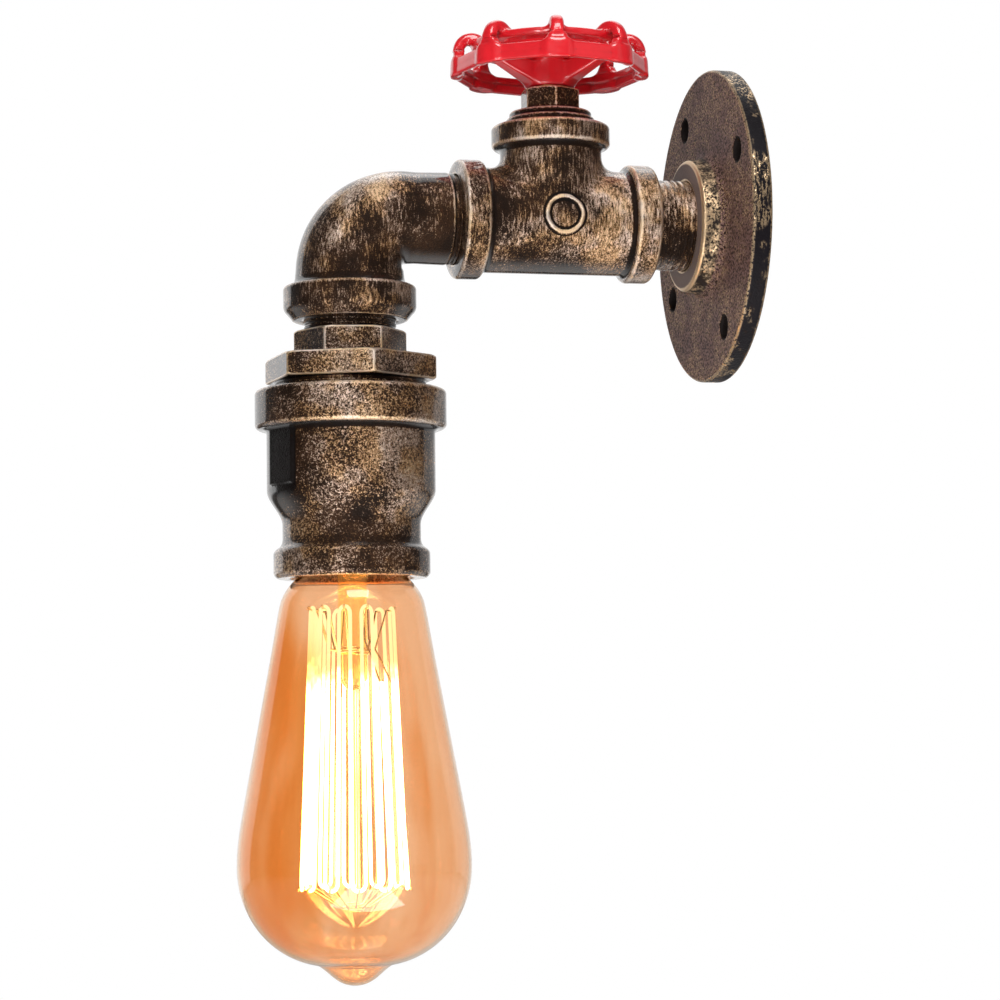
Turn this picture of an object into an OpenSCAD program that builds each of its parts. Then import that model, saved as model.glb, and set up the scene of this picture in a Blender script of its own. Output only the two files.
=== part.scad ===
// Wall lamp made of screwed pipe fittings, with a valve handwheel as its switch knob.
// Millimetres. The origin is the centre of the flange's back face, on the wall.
// +Z is up, and the arm runs out from the wall along -Y.

/* [Wall flange] */
// Diameter of the flange plate
flange_d = 88.5; // [80:0.5:110]
// Thickness of the flange plate
flange_t = 5.7; // [3:0.1:8]
// Bevel round the front edge of the plate
flange_bevel = 0.8; // [0.2:0.1:1.5]
// Diameter of the hub round the socket
hub_d = 37; // [33:0.5:45]
// Height of the hub above the plate
hub_h = 6.1; // [4:0.1:12]
// Diameter of a wall screw hole
wall_hole_d = 6.5; // [4:0.1:8]
// Diameter of the circle that the wall screw holes lie on
wall_hole_pcd = 70; // [60:0.5:72]
// Number of wall screw holes
wall_hole_count = 4; // [3:1:6]
// Turn of the first wall screw hole from the horizontal, in degrees
wall_hole_turn = 28; // [0:1:89]

/* [Pipe line] */
// Outer diameter of the male pipe threads
pipe_d = 25.2; // [24:0.1:26.2]
// Bore of the pipe line
pipe_bore_d = 19.6; // [18:0.1:20.4]
// Length of thread screwed into each fitting
screw_depth = 12; // [9:0.5:12.5]
// Bare length of the wall nipple between the hub and the tee
nipple_show = 10.7; // [6:0.1:40]
// Distance that the wall nipple stops short of the wall
nipple_setback = 1; // [0.5:0.1:3]

/* [Tee] */
// Half of the tee's straight run
tee_half = 28; // [27:0.5:40]
// Height of the branch face above the arm's axis
tee_branch = 27; // [26:0.5:34]
// Diameter of the tee's body between its bands
tee_body_d = 29.4; // [28.6:0.1:31]
// How much slimmer the branch is than the run
branch_slim = 0.8; // [0.4:0.1:1]
// Diameter of the bands round the tee's ends
tee_band_d = 33.4; // [32.4:0.1:37]
// Width of the bands on the run
tee_band_w = 7; // [4:0.1:9]
// Width of the band on the branch
branch_band_w = 6.2; // [4:0.1:8]
// Bevel on the edges of the bands
band_bevel = 1.3; // [0.4:0.1:1.5]
// Diameter of the plain raised ring on the tee's side
side_ring_d = 11.2; // [8:0.1:13]
// Width of the raised ring
side_ring_w = 1.1; // [0.6:0.1:2]
// Height of the raised ring above the tee's body
side_ring_h = 0.5; // [0.2:0.1:1]

/* [Bonnet] */
// Diameter of the round collar under the hexagon
collar_d = 25; // [22:0.1:28]
// Height of the collar's wide step
collar_low_h = 2.2; // [1:0.1:4]
// Height of the collar's narrow step
collar_high_h = 1.8; // [1:0.1:4]
// How far the narrow step is set in
collar_step = 0.9; // [0.3:0.1:1.5]
// Width across flats of the hexagon
bonnet_af = 15; // [13:0.1:18]
// Height of the hexagon
bonnet_hex_h = 6.5; // [5:0.1:10]
// Turn of the hexagon, in degrees
bonnet_turn = -3; // [-30:1:30]
// Height of the gland packing
packing_h = 3; // [1.5:0.1:4]

/* [Switch] */
// Diameter of the switch case
switch_d = 17.2; // [16.4:0.1:18]
// Height of the switch case
switch_h = 10.2; // [9.4:0.1:11]
// Wall of the switch case
switch_wall = 1.3; // [1:0.1:1.5]
// Thickness of the switch base
switch_base_t = 1.5; // [1:0.1:2]
// Diameter of the threaded neck
switch_neck_d = 10; // [9:0.1:12]
// Height of the threaded neck
switch_neck_h = 11; // [8:0.1:12]
// Diameter of the spindle
spindle_d = 6; // [5:0.1:6.4]
// Diameter of the rotor
rotor_d = 9.6; // [9:0.1:10.4]
// Height of the rotor
rotor_h = 4.6; // [3:0.1:5]
// Thickness of the contact blades
blade_t = 0.6; // [0.4:0.1:0.8]
// Width of the contact blades
blade_w = 3; // [2:0.1:4]
// Height of the contact blades above the base
blade_h = 5; // [3:0.1:6]
// Length of the contact tails under the base
tail_h = 2.6; // [2:0.1:4]
// Thickness of the circlip
circlip_t = 0.6; // [0.4:0.1:0.8]

/* [Handwheel] */
// Diameter over the corners of the rim
wheel_d = 57; // [54:0.5:70]
// Number of lobes round the rim
wheel_lobes = 8; // [6:1:9]
// Number of spokes
wheel_spokes = 3; // [3:1:6]
// Turn of the first spoke from the first lobe, in degrees
spoke_turn = 55; // [0:1:90]
// Turn of the first lobe, in degrees
wheel_turn = -10; // [-45:1:45]
// Height of the rim's lower edge above the bottom of the hub
rim_lift = 3.4; // [2:0.1:6]
// Height of the rim's skirt
skirt_h = 4.4; // [3.4:0.1:6]
// Wall of the skirt
skirt_t = 2; // [1.4:0.1:3]
// Thickness of the ledge inside the skirt
ledge_t = 1.4; // [1:0.1:2]
// Inner diameter of the ledge
ledge_d = 48; // [46:0.5:50]
// Outer diameter of the raised ring that carries the lobes
inner_ring_d = 44; // [40:0.5:46]
// Radial width of the raised ring
inner_ring_t = 6; // [4:0.1:7]
// Height of the raised ring's top above the rim's lower edge
inner_ring_h = 9.6; // [8.6:0.1:10.5]
// Thickness of the raised ring
inner_ring_deep = 2.2; // [1.6:0.1:3]
// Width of a lobe
lobe_w = 4.7; // [3.4:0.1:6]
// Height of a lobe above the rim's lower edge
lobe_h = 12.4; // [11:0.1:14]
// Radial length of a lobe
lobe_reach = 10.6; // [9.6:0.1:12]
// Thickness of a lobe's arch and of its leg
lobe_t = 3.2; // [2.6:0.1:3.8]
// How far a lobe is set in from the rim's corner
lobe_inset = 1.2; // [0.6:0.1:1.6]
// Diameter of the wheel's hub
wheel_hub_d = 13; // [11:0.1:16]
// Height of the wheel's hub
wheel_hub_h = 12.5; // [11.5:0.1:13]
// Diameter of the disc at the top of the hub
hub_disc_d = 28; // [24:0.5:30]
// Thickness of the disc at the top of the hub
hub_disc_t = 2.6; // [1.6:0.1:3.4]
// Width of a spoke
spoke_w = 4.4; // [3.4:0.1:8]
// Thickness of a spoke
spoke_t = 3; // [2:0.1:4]
// Thickness of the washer under the hub
thrust_t = 0.5; // [0.3:0.1:1]
// Diameter of both washers
washer_d = 11.4; // [10:0.1:12.6]
// Thickness of the washer on the hub
washer_t = 0.8; // [0.5:0.1:1.5]
// Width across flats of the wheel nut
nut_af = 10; // [9:0.1:11]
// Height of the wheel nut
nut_h = 3.4; // [3:0.1:5]
// Length of spindle that stands out of the nut
spindle_show = 0.6; // [0.5:0.1:2]

/* [Elbow] */
// Distance from the tee's face to the lamp axis
elbow_reach = 30; // [28:0.5:45]
// Radius of the bend's centre line
bend_r = 15.5; // [15:0.1:18]
// Depth of the elbow's lower face under the arm's axis
elbow_drop = 28.7; // [27.2:0.1:40]
// Diameter of the bent tube
elbow_tube_d = 27.2; // [26.6:0.1:29]
// Diameter of the tube where it meets the band
elbow_heel_d = 30.8; // [29:0.1:32]
// Diameter of the elbow's band
elbow_band_d = 36.8; // [33:0.1:40]
// Width of the elbow's band
elbow_band_w = 9; // [6:0.1:9.4]
// Bevel on the lower edge of the elbow's band
elbow_bevel = 2.3; // [1:0.1:3]
// Bare thread between the tee and the elbow's body
elbow_thread_show = 2.4; // [1:0.1:6]

/* [Hex fittings] */
// Bare thread between the elbow and the nipple's hexagon
nipple_neck_h = 3.4; // [2:0.1:12]
// Width across flats of the nipple's hexagon
nipple_af = 27.1; // [26.6:0.1:34]
// Height of the nipple's hexagon
nipple_hex_h = 7.4; // [4:0.1:12]
// Turn of the nipple's hexagon, in degrees
nipple_turn = 22; // [0:1:60]
// Width across flats of the bush's hexagon
bush_af = 42.3; // [42.2:0.1:52]
// Height of the bush's hexagon
bush_hex_h = 6.8; // [4:0.1:12]
// Turn of the bush's hexagon, in degrees
bush_turn = 4; // [0:1:60]
// Bare thread between the bush's hexagon and the bell
bush_neck_h = 2.3; // [1:0.1:8]
// Outer diameter of the bush's male thread
bush_d = 41.8; // [40.6:0.1:42]
// Length of bush screwed into the bell
bush_depth = 13; // [12.5:0.1:16]

/* [Reducer bell] */
// Diameter of the upper band
bell_top_d = 52.8; // [50:0.1:60]
// Height of the upper band
bell_top_h = 10.8; // [8:0.1:14]
// Diameter of the bell's body
bell_d = 46.4; // [45.6:0.1:50]
// Height of the body between the band and the taper
bell_body_h = 16.8; // [14:0.1:30]
// Height of the taper
bell_taper_h = 10.1; // [8:0.1:12]
// Diameter of the neck under the taper
bell_neck_d = 38; // [36.4:0.1:42]
// Height of the neck
bell_neck_h = 6.3; // [4:0.1:12]
// Diameter of the lower band
bell_low_d = 42.9; // [41:0.1:48]
// Height of the lower band
bell_low_h = 7.4; // [4:0.1:10]
// Diameter of the space inside the body
bell_cavity_d = 40.4; // [40:0.1:41.6]
// Diameter of the mouth
bell_mouth_d = 33.4; // [33.2:0.1:35]
// Width of the two casting ribs on the body
rib_w = 11.2; // [4:0.1:14]
// How far the casting ribs stand out
rib_h = 0.2; // [0.2:0.1:1.6]
// Turn of the casting ribs from the arm's direction, in degrees
rib_turn = 23; // [-90:1:90]

/* [Lamp holder] */
// Thickness of the clamp ring
clamp_ring_t = 2; // [1:0.1:3]
// Inner diameter of the clamp ring
clamp_ring_bore_d = 30; // [26:0.1:34]
// Diameter of the ceramic holder at its shoulder
holder_d = 39.2; // [38:0.1:39.6]
// Diameter of the holder's skirt
holder_skirt_d = 32.4; // [31:0.1:32.8]
// Distance from the mouth of the bell up to the holder's lower edge
holder_setback = 6; // [5:0.1:8]
// Wall of the brass screw sleeve
shell_t = 0.4; // [0.3:0.1:0.6]
// Height of the screw sleeve
shell_h = 17.6; // [15:0.1:18]
// Inner diameter of the sleeve's upper lip
shell_lip_d = 14.4; // [14:0.1:16]
// Depth of the contact chamber above the sleeve
chamber_h = 4; // [3.6:0.1:6]
// Diameter of the contact chamber
chamber_d = 18.4; // [18:0.1:20]
// Thickness of the centre contact tongue
tongue_t = 0.5; // [0.3:0.1:0.8]
// Width of the centre contact tongue
tongue_w = 4; // [3:0.1:6]
// Distance of both terminals from the lamp axis
terminal_x = 7.4; // [7.2:0.1:7.6]
// Width of a terminal
terminal_w = 4.6; // [4:0.1:5]
// Height of a terminal
terminal_h = 5; // [4:0.1:6]
// Diameter of a terminal's leg
terminal_leg_d = 2.2; // [1.6:0.1:2.4]

/* [Connector] */
// Height of the connector in the wall nipple
block_h = 11.6; // [9:0.1:12]
// Length of the connector
block_len = 14; // [10:0.1:15]
// Distance of the connector from the wall
block_setback = 9; // [7:0.1:11]
// Distance of each pole from the middle
pole_x = 3.9; // [3.6:0.1:4.4]
// Outer diameter of the brass tubes
insert_d = 3.6; // [3:0.1:4.2]
// Diameter of the clamping screws' heads
clamp_head_d = 2.8; // [2:0.1:3]
// Height of the clamping screws' heads
clamp_head_h = 0.8; // [0.5:0.1:1]
// Diameter of a screw's shank
screw_shank_d = 2; // [1.6:0.1:2.4]

/* [Wiring] */
// Diameter of a single core with its insulation
core_d = 2; // [1.4:0.1:2.4]
// Diameter of the sheathed lead to the lamp holder
lead_d = 6.4; // [5:0.1:7]

/* [Bulb] */
// Largest diameter of the glass
bulb_d = 64; // [58:0.5:70]
// Length of glass below the bell's mouth
bulb_len = 111; // [104:0.5:120]
// Diameter of the glass a little below the bell's mouth
throat_d = 39; // [36:0.1:42]
// Depth of that place below the bell's mouth
throat_drop = 6.3; // [5:0.1:8]
// Diameter of the glass where its straight side starts
shoulder_d = 45; // [42:0.1:48]
// Depth of that place below the bell's mouth
shoulder_drop = 22; // [18:0.1:26]
// Diameter of the ring where the rounded tip starts
tip_ring_d = 20.8; // [16:0.1:24]
// Height of the rounded tip under that ring
tip_drop = 5.6; // [4:0.1:8]
// Wall of the glass
glass_t = 0.8; // [0.5:0.1:1.2]
// Diameter of the glass neck inside the cap
glass_neck_d = 24.6; // [24:0.1:25]
// Diameter of the screw cap
cap_d = 26.2; // [25.8:0.1:26.4]
// Wall of the screw cap
cap_t = 0.4; // [0.3:0.1:0.5]
// Height of the screw cap
cap_h = 17.8; // [16:0.1:18.4]
// Distance from the bell's mouth up to the cap's lower edge
cap_setback = 3.6; // [3:0.1:5]
// Diameter of the tip contact
tip_d = 9.6; // [8:0.1:10]
// Height of the tip contact
tip_h = 2.1; // [1.4:0.1:2.2]
// Height of the black insulator
insulator_h = 2.8; // [2:0.1:3.4]
// Diameter of the glass stem
stem_d = 8; // [5:0.1:10]
// Length of the stem below the bell's mouth
stem_len = 28; // [20:0.5:34]
// Diameter of the glass rod under the stem
rod_d = 3; // [2:0.1:4]
// Depth of the rod's end below the bell's mouth
rod_len = 91; // [87.5:0.5:95]
// Depth of the filament's upper bends below the bell's mouth
filament_top = 8.5; // [8:0.5:16]
// Depth of the upper hooks' collar below the bell's mouth
hook_collar_drop = 21; // [20:0.5:26]
// Depth of the filament's lower bends below the bell's mouth
filament_low = 85; // [70:0.5:86]
// Radius of the filament cage at its upper bends
cage_top_r = 11.5; // [8:0.1:13]
// Radius of the filament cage at its lower bends
cage_low_r = 14.5; // [10:0.1:18]
// Number of upright strands in the filament
strands = 24; // [8:2:28]
// Turn of the filament cage, in degrees
cage_turn = 53; // [0:1:360]
// Depth of the filament's two ends below the bell's mouth
filament_end = 29; // [26:0.5:40]
// Depth of the upper ends of the lead-in wires below the bell's mouth
lead_in_top = 17; // [12:0.5:24]
// Diameter of the filament as it glows
filament_d = 0.7; // [0.4:0.1:1]
// Diameter of the hooks that carry the filament
hook_d = 0.6; // [0.4:0.1:0.8]

/* [Fits] */
// Radial clearance in screwed and turning joints
screw_fit = 0.05; // [0.02:0.01:0.1]
// Clearance round a piece that is only laid or pushed in
seat_gap = 0.1; // [0.05:0.01:0.15]
// Radial clearance between the bulb's cap and the screw sleeve
cap_fit = 0.3; // [0.2:0.01:0.4]

/* [Hidden] */
$fn = 64;

bronze = "#5a4632";
iron_grey = "#6b6560";
brass_yellow = "#c8a24a";
moulded_black = "#26262a";
ceramic_white = "#e9e4d8";
enamel_red = "#c8141e";
amber_glass = "#e0924a";
glow_yellow = "#fff0b0";
stem_white = "#f2ead6";
core_brown = "#7a3d20";
core_blue = "#2f5fa8";
sheath_black = "#1d1d1f";

// Distances from the wall along the arm
hub_face = flange_t + hub_h;
tee_start = hub_face + nipple_show;
valve_out = tee_start + tee_half;
tee_end = valve_out + tee_half;
arm_reach = tee_end + elbow_reach;
bend_out = arm_reach - bend_r;

// Length by which a cut runs past a face
cut = 1;

// Small gaps and slacks
end_gap = 0.3;
socket_slack = 0.6;
blade_gap = 0.7;
swivel_gap = 0.4;
core_fit = 0.1;
screw_tip_gap = 0.2;
screw_seat = 1.4;
bush_room = 1;

// Heights on the valve axis
plug_low = tee_branch - screw_depth;
collar_top = tee_branch + collar_low_h + collar_high_h;
bonnet_top = collar_top + bonnet_hex_h;
case_low = plug_low - switch_h;
base_low = case_low - switch_base_t;
neck_top = plug_low + switch_neck_h;
packing_top = neck_top + packing_h;
wheel_low = bonnet_top + thrust_t;
rim_low = wheel_low + rim_lift;
inner_ring_low = rim_low + inner_ring_h - inner_ring_deep;
wheel_top = wheel_low + wheel_hub_h;
nut_low = wheel_top + washer_t;
spindle_top = nut_low + nut_h + spindle_show;
spindle_low = case_low + end_gap;
circlip_low = spindle_low + end_gap;
rotor_low = circlip_low + circlip_t + seat_gap;

// Heights on the lamp axis
shell_setback = 0.6;
elbow_face = -elbow_drop;
nipple_hex_top = elbow_face - nipple_neck_h;
nipple_hex_low = nipple_hex_top - nipple_hex_h;
bush_hex_low = nipple_hex_low - bush_hex_h;
bell_top = bush_hex_low - bush_neck_h;
bush_low = bell_top - bush_depth;
bell_band_low = bell_top - bell_top_h;
taper_top = bell_band_low - bell_body_h;
taper_low = taper_top - bell_taper_h;
bell_low = taper_low - bell_neck_h - bell_low_h;
holder_top = bush_low - clamp_ring_t;
holder_low = bell_low + holder_setback;
shell_low = holder_low + shell_setback;
shell_top = shell_low + shell_h;
chamber_top = shell_top + chamber_h;
cap_low = bell_low + cap_setback;
cap_top = cap_low + cap_h;
insulator_top = cap_top + insulator_h;
tongue_low = chamber_top - tongue_t;

// Radii that follow from a fit
pipe_r = pipe_d / 2;
socket_r = pipe_r + screw_fit;
bore_r = pipe_bore_d / 2;
spindle_hole_r = spindle_d / 2 + screw_fit;
neck_hole_r = switch_neck_d / 2 + screw_fit;
shell_in_r = cap_d / 2 + cap_fit;
shell_out_r = shell_in_r + shell_t;
holder_bore_r = shell_out_r + screw_fit;
block_w = 2 * sqrt(pow(bore_r - seat_gap, 2) - pow(block_h / 2, 2));
blade_out = rotor_d / 2 + blade_gap;
swivel_in = screw_depth - 1;
swivel_out = tee_end - swivel_in;

// Routes of the cores in the arm, as points in the lamp's frame
core_r = core_d / 2;
block_end = block_setback + block_len;
tail_z = base_low - tail_h / 2;
feed_in = valve_out - blade_out - blade_t - seat_gap;
switched_in = valve_out + blade_out + blade_t + seat_gap;
neutral_drop = -5.6;
feed_route = [[pole_x, -block_end + 4, 0], [pole_x, -block_end - 3, 0],
    [pole_x * 0.6, -block_end - 7, tail_z * 0.5], [0, -feed_in + 5, tail_z], [0, -feed_in, tail_z]];
switched_route = [[0, -switched_in, tail_z], [0, -switched_in - 4, tail_z], [0.8, -swivel_out + 5, 1.2],
    [1.3, -swivel_out, 0]];
neutral_route = [[-pole_x, -block_end + 4, 0], [-pole_x, -block_end - 2, 0],
    [-pole_x, -block_end - 5, neutral_drop / 2], [-pole_x, -block_end - 9, neutral_drop],
    [-pole_x * 0.7, -valve_out, neutral_drop],
    [-pole_x * 0.6, -valve_out - 8, neutral_drop], [-1.3, -swivel_out + 4, -0.4], [-1.3, -swivel_out, 0]];

// Route of the sheathed lead: out along the arm, round the bend and down
lead_start = swivel_out + swivel_gap;
lead_end_z = nipple_hex_low - 9;
bend_steps = 8;
lead_route = concat([[0, -lead_start, 0]],
    [for (i = [0:bend_steps]) [0, -bend_out - bend_r * sin(90 * i / bend_steps),
        -bend_r * (1 - cos(90 * i / bend_steps))]],
    [[0, -arm_reach, lead_end_z]]);

// Outline of the glass: radius, and height over the bell's mouth
widest_z = -0.71 * bulb_len;
side_low_z = -0.57 * bulb_len;
ring_z = tip_drop - bulb_len;
glass_in_cap = 9;
neck_top_z = cap_setback + glass_in_cap;
tip_zone_r = tip_ring_d / 2;
neck_r = glass_neck_d / 2;
throat_r = throat_d / 2;
shoulder_r = shoulder_d / 2;
bulb_r = bulb_d / 2;
glass_outline = concat(
    [[neck_r, neck_top_z]],
    curve([neck_r, cap_setback * 0.9], [neck_r, cap_setback * 0.2], [throat_r * 0.88, -throat_drop * 0.03],
        [throat_r, -throat_drop], 6),
    curve([throat_r, -throat_drop], [throat_r * 1.035, -throat_drop * 1.32],
        [shoulder_r * 0.94, -shoulder_drop * 0.66], [shoulder_r, -shoulder_drop], 5),
    curve([bulb_r * 0.944, side_low_z], [bulb_r * 0.98, side_low_z * 1.1],
        [bulb_r, widest_z * 0.936], [bulb_r, widest_z], 5),
    curve([bulb_r, widest_z], [bulb_r, widest_z - bulb_r * 0.43],
        [bulb_r * 0.71, ring_z + tip_drop * 0.36], [tip_zone_r, ring_z], 9),
    curve([tip_zone_r, ring_z], [tip_zone_r * 0.71, ring_z - tip_drop * 0.21],
        [tip_zone_r * 0.52, -bulb_len], [0, -bulb_len], 5));

// Share of the way round a filament bend, and distance from its crown
hairpin_steps = [[0, 2], [0.2, 0.4], [0.5, 0], [0.8, 0.4], [1, 2]];
crown = 2;
filament_end_z = -filament_end;
stem_taper = 3;
hook_collar_w = 0.8;
hook_collar_h = 1.6;
// The filament starts and ends at the top, on either side of the gap in the cage
filament_route = concat([concat(strand_at(0, cage_top_r), filament_end_z)],
    [for (i = [1:strands - 3]) each hairpin(i)],
    [concat(strand_at(strands - 2, cage_top_r), filament_end_z)]);

// Place of a strand on the cage's circle
function strand_at(i, r) = let (a = cage_turn + 360 * (i + 0.5) / strands) [r * cos(a), r * sin(a)];
// One bend of the filament: even ones lie at the top, odd ones at the bottom
function hairpin(i) = let (top = i % 2 == 0, r = top ? cage_top_r : cage_low_r,
    z = top ? -filament_top : -filament_low, down = top ? -1 : 1,
    a = strand_at(i, r), b = strand_at(i + 1, r))
    [for (step = hairpin_steps) let (p = a + step.x * (b - a)) [p.x, p.y, z + down * step.y]];
// Points on a cubic curve, without its last point
function curve(a, b, c, d, n) = [for (i = [0:n - 1]) let (t = i / n, s = 1 - t)
    s * s * s * a + 3 * s * s * t * b + 3 * s * t * t * c + t * t * t * d];
function unit(v) = v / norm(v);
// Direction of a route at point i
function heading(p, i) = unit(p[min(i + 1, len(p) - 1)] - p[max(i - 1, 0)]);
// A direction square to v, near the wanted one
function square_to(v, wanted) = unit(wanted - (wanted * v) * v);

// Frame whose z runs out along the arm, from a distance off the wall
module along_arm(distance) {
    translate([0, -distance, 0]) rotate([90, 0, 0]) children();
}

// Frame on the valve axis at a height
module on_valve(z) {
    translate([0, -valve_out, z]) children();
}

// Frame on the lamp axis at a height
module on_lamp(z) {
    translate([0, -arm_reach, z]) children();
}

// Flat ring
module ring(inner_r, outer_r, height) {
    difference() {
        cylinder(r = outer_r, h = height);
        translate([0, 0, -cut]) cylinder(r = inner_r, h = height + 2 * cut);
    }
}

// Hexagon bar
module hex_bar(across_flats, height) {
    cylinder(d = across_flats / cos(30), h = height, $fn = 6);
}

// Round band with bevelled edges, the lower edge by its own bevel
module band(d, width, low_bevel = band_bevel) {
    r = d / 2;
    rotate_extrude() polygon([[0, 0], [r - low_bevel, 0], [r, low_bevel], [r, width - band_bevel],
        [r - band_bevel, width], [0, width]]);
}

// Tube with eight sides along a route, kept square to the route
module swept_tube(route, r, wanted) {
    sides = 8;
    count = len(route);
    points = [for (i = [0:count - 1]) let (h = heading(route, i), a = square_to(h, wanted), b = cross(h, a))
        for (k = [0:sides - 1]) route[i] + r * (cos(360 * k / sides) * a + sin(360 * k / sides) * b)];
    walls = [for (i = [0:count - 2]) for (k = [0:sides - 1]) let (n = (k + 1) % sides)
        each [[i * sides + k, (i + 1) * sides + n, i * sides + n],
            [i * sides + k, (i + 1) * sides + k, (i + 1) * sides + n]]];
    first = [for (k = [0:sides - 1]) k];
    last = [for (k = [sides - 1:-1:0]) (count - 1) * sides + k];
    polyhedron(points, concat(walls, [first, last]));
}

// Straight wire between two points
module wire(from, to, d) {
    run = to - from;
    level = norm([run.x, run.y]);
    translate(from) rotate([0, atan2(level, run.z), atan2(run.y, run.x)])
        cylinder(d = d, h = norm(run), $fn = 16);
}

module wall_flange() {
    color(bronze) difference() {
        along_arm(0) union() {
            rotate_extrude() polygon([[0, 0], [flange_d / 2, 0], [flange_d / 2, flange_t - flange_bevel],
                [flange_d / 2 - flange_bevel, flange_t], [0, flange_t]]);
            cylinder(d = hub_d, h = hub_face);
        }
        along_arm(-cut) cylinder(r = socket_r, h = hub_face + 2 * cut);
        along_arm(-cut) for (i = [0:wall_hole_count - 1])
            rotate(wall_hole_turn + 360 * i / wall_hole_count) translate([wall_hole_pcd / 2, 0, 0])
                cylinder(d = wall_hole_d, h = flange_t + 2 * cut);
    }
}

module wall_nipple() {
    color(bronze) along_arm(nipple_setback) ring(bore_r, pipe_r, tee_start + screw_depth - nipple_setback);
}

module tee_body() {
    socket_depth = screw_depth + socket_slack;
    run_bore_r = bore_r + socket_slack;
    branch_bore_r = bore_r + screw_tip_gap;
    color(bronze) difference() {
        union() {
            along_arm(tee_start) cylinder(d = tee_body_d, h = 2 * tee_half);
            along_arm(tee_start) band(tee_band_d, tee_band_w);
            along_arm(tee_end - tee_band_w) band(tee_band_d, tee_band_w);
            on_valve(0) cylinder(d = tee_body_d - branch_slim, h = tee_branch);
            on_valve(tee_branch - branch_band_w) band(tee_band_d, branch_band_w);
            on_valve(0) rotate([0, 90, 0]) cylinder(d = side_ring_d, h = tee_body_d / 2 + side_ring_h);
        }
        on_valve(0) rotate([0, 90, 0]) translate([0, 0, tee_body_d / 2 - side_ring_h])
            cylinder(d = side_ring_d - 2 * side_ring_w, h = 3 * side_ring_h);
        along_arm(tee_start - cut) cylinder(r = run_bore_r, h = 2 * (tee_half + cut));
        along_arm(tee_start - cut) cylinder(r = socket_r, h = socket_depth + cut);
        along_arm(tee_end - socket_depth) cylinder(r = socket_r, h = socket_depth + cut);
        on_valve(0) cylinder(r = branch_bore_r, h = tee_branch + cut);
        on_valve(tee_branch - socket_depth) cylinder(r = socket_r, h = socket_depth + cut);
    }
}

module valve_bonnet() {
    color(bronze) on_valve(0) difference() {
        union() {
            translate([0, 0, plug_low]) cylinder(r = pipe_r, h = screw_depth);
            translate([0, 0, tee_branch]) cylinder(d = collar_d, h = collar_low_h);
            translate([0, 0, tee_branch])
                cylinder(d = collar_d - 2 * collar_step, h = collar_top - tee_branch);
            translate([0, 0, collar_top]) rotate(bonnet_turn) hex_bar(bonnet_af, bonnet_hex_h);
        }
        translate([0, 0, plug_low - cut]) cylinder(r = neck_hole_r, h = packing_top - plug_low + cut);
        translate([0, 0, plug_low]) cylinder(r = spindle_hole_r, h = bonnet_top);
    }
}

module gland_packing() {
    color(ceramic_white) on_valve(neck_top) ring(spindle_hole_r, switch_neck_d / 2, packing_h);
}

module switch_case() {
    color(moulded_black) on_valve(case_low) difference() {
        union() {
            cylinder(d = switch_d, h = switch_h);
            cylinder(d = switch_neck_d, h = switch_h + switch_neck_h);
        }
        translate([0, 0, -cut]) cylinder(d = switch_d - 2 * switch_wall, h = switch_h - switch_wall + cut);
        translate([0, 0, -cut]) cylinder(r = spindle_hole_r, h = switch_h + switch_neck_h + 2 * cut);
    }
}

// Cut for a contact blade that stands across the arm, at a distance from the valve axis
module blade(side, low, height, grow) {
    translate([-blade_w / 2 - grow, side > 0 ? blade_out - grow : -blade_out - blade_t - grow, low])
        cube([blade_w + 2 * grow, blade_t + 2 * grow, height]);
}

module switch_base() {
    color(moulded_black) on_valve(base_low) difference() {
        cylinder(d = switch_d, h = switch_base_t);
        for (side = [-1, 1]) blade(side, -cut, switch_base_t + 2 * cut, screw_fit);
    }
}

module switch_contacts() {
    color(brass_yellow) on_valve(base_low) for (side = [-1, 1])
        blade(side, -tail_h, tail_h + switch_base_t + blade_h, 0);
}

module terminal_block() {
    color(ceramic_white) along_arm(block_setback) difference() {
        translate([-block_w / 2, -block_h / 2, 0]) cube([block_w, block_h, block_len]);
        for (side = [-1, 1]) {
            translate([side * pole_x, 0, -cut])
                cylinder(r = insert_d / 2 + screw_fit, h = block_len + 2 * cut);
            for (place = [0.25, 0.75]) translate([side * pole_x, 0, place * block_len]) rotate([-90, 0, 0])
                cylinder(d = screw_shank_d + 2 * screw_fit, h = block_h);
        }
    }
}

module terminal_inserts() {
    color(brass_yellow) along_arm(block_setback) for (side = [-1, 1]) translate([side * pole_x, 0, 0])
        ring(core_r + core_fit, insert_d / 2, block_len);
}

module terminal_screws() {
    color(iron_grey) along_arm(block_setback) for (side = [-1, 1]) for (place = [0.25, 0.75])
        translate([side * pole_x, 0, place * block_len]) rotate([-90, 0, 0]) {
            translate([0, 0, insert_d / 2 + seat_gap])
                cylinder(d = screw_shank_d, h = block_h / 2 - insert_d / 2);
            translate([0, 0, block_h / 2]) cylinder(d = clamp_head_d, h = clamp_head_h);
        }
}

module feed_live_wire() {
    color(core_brown) swept_tube(feed_route, core_r, [0, 0, 1]);
}

module switched_live_wire() {
    color(sheath_black) swept_tube(switched_route, core_r, [0, 0, 1]);
}

module neutral_wire() {
    color(core_blue) swept_tube(neutral_route, core_r, [0, 0, 1]);
}

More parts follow.
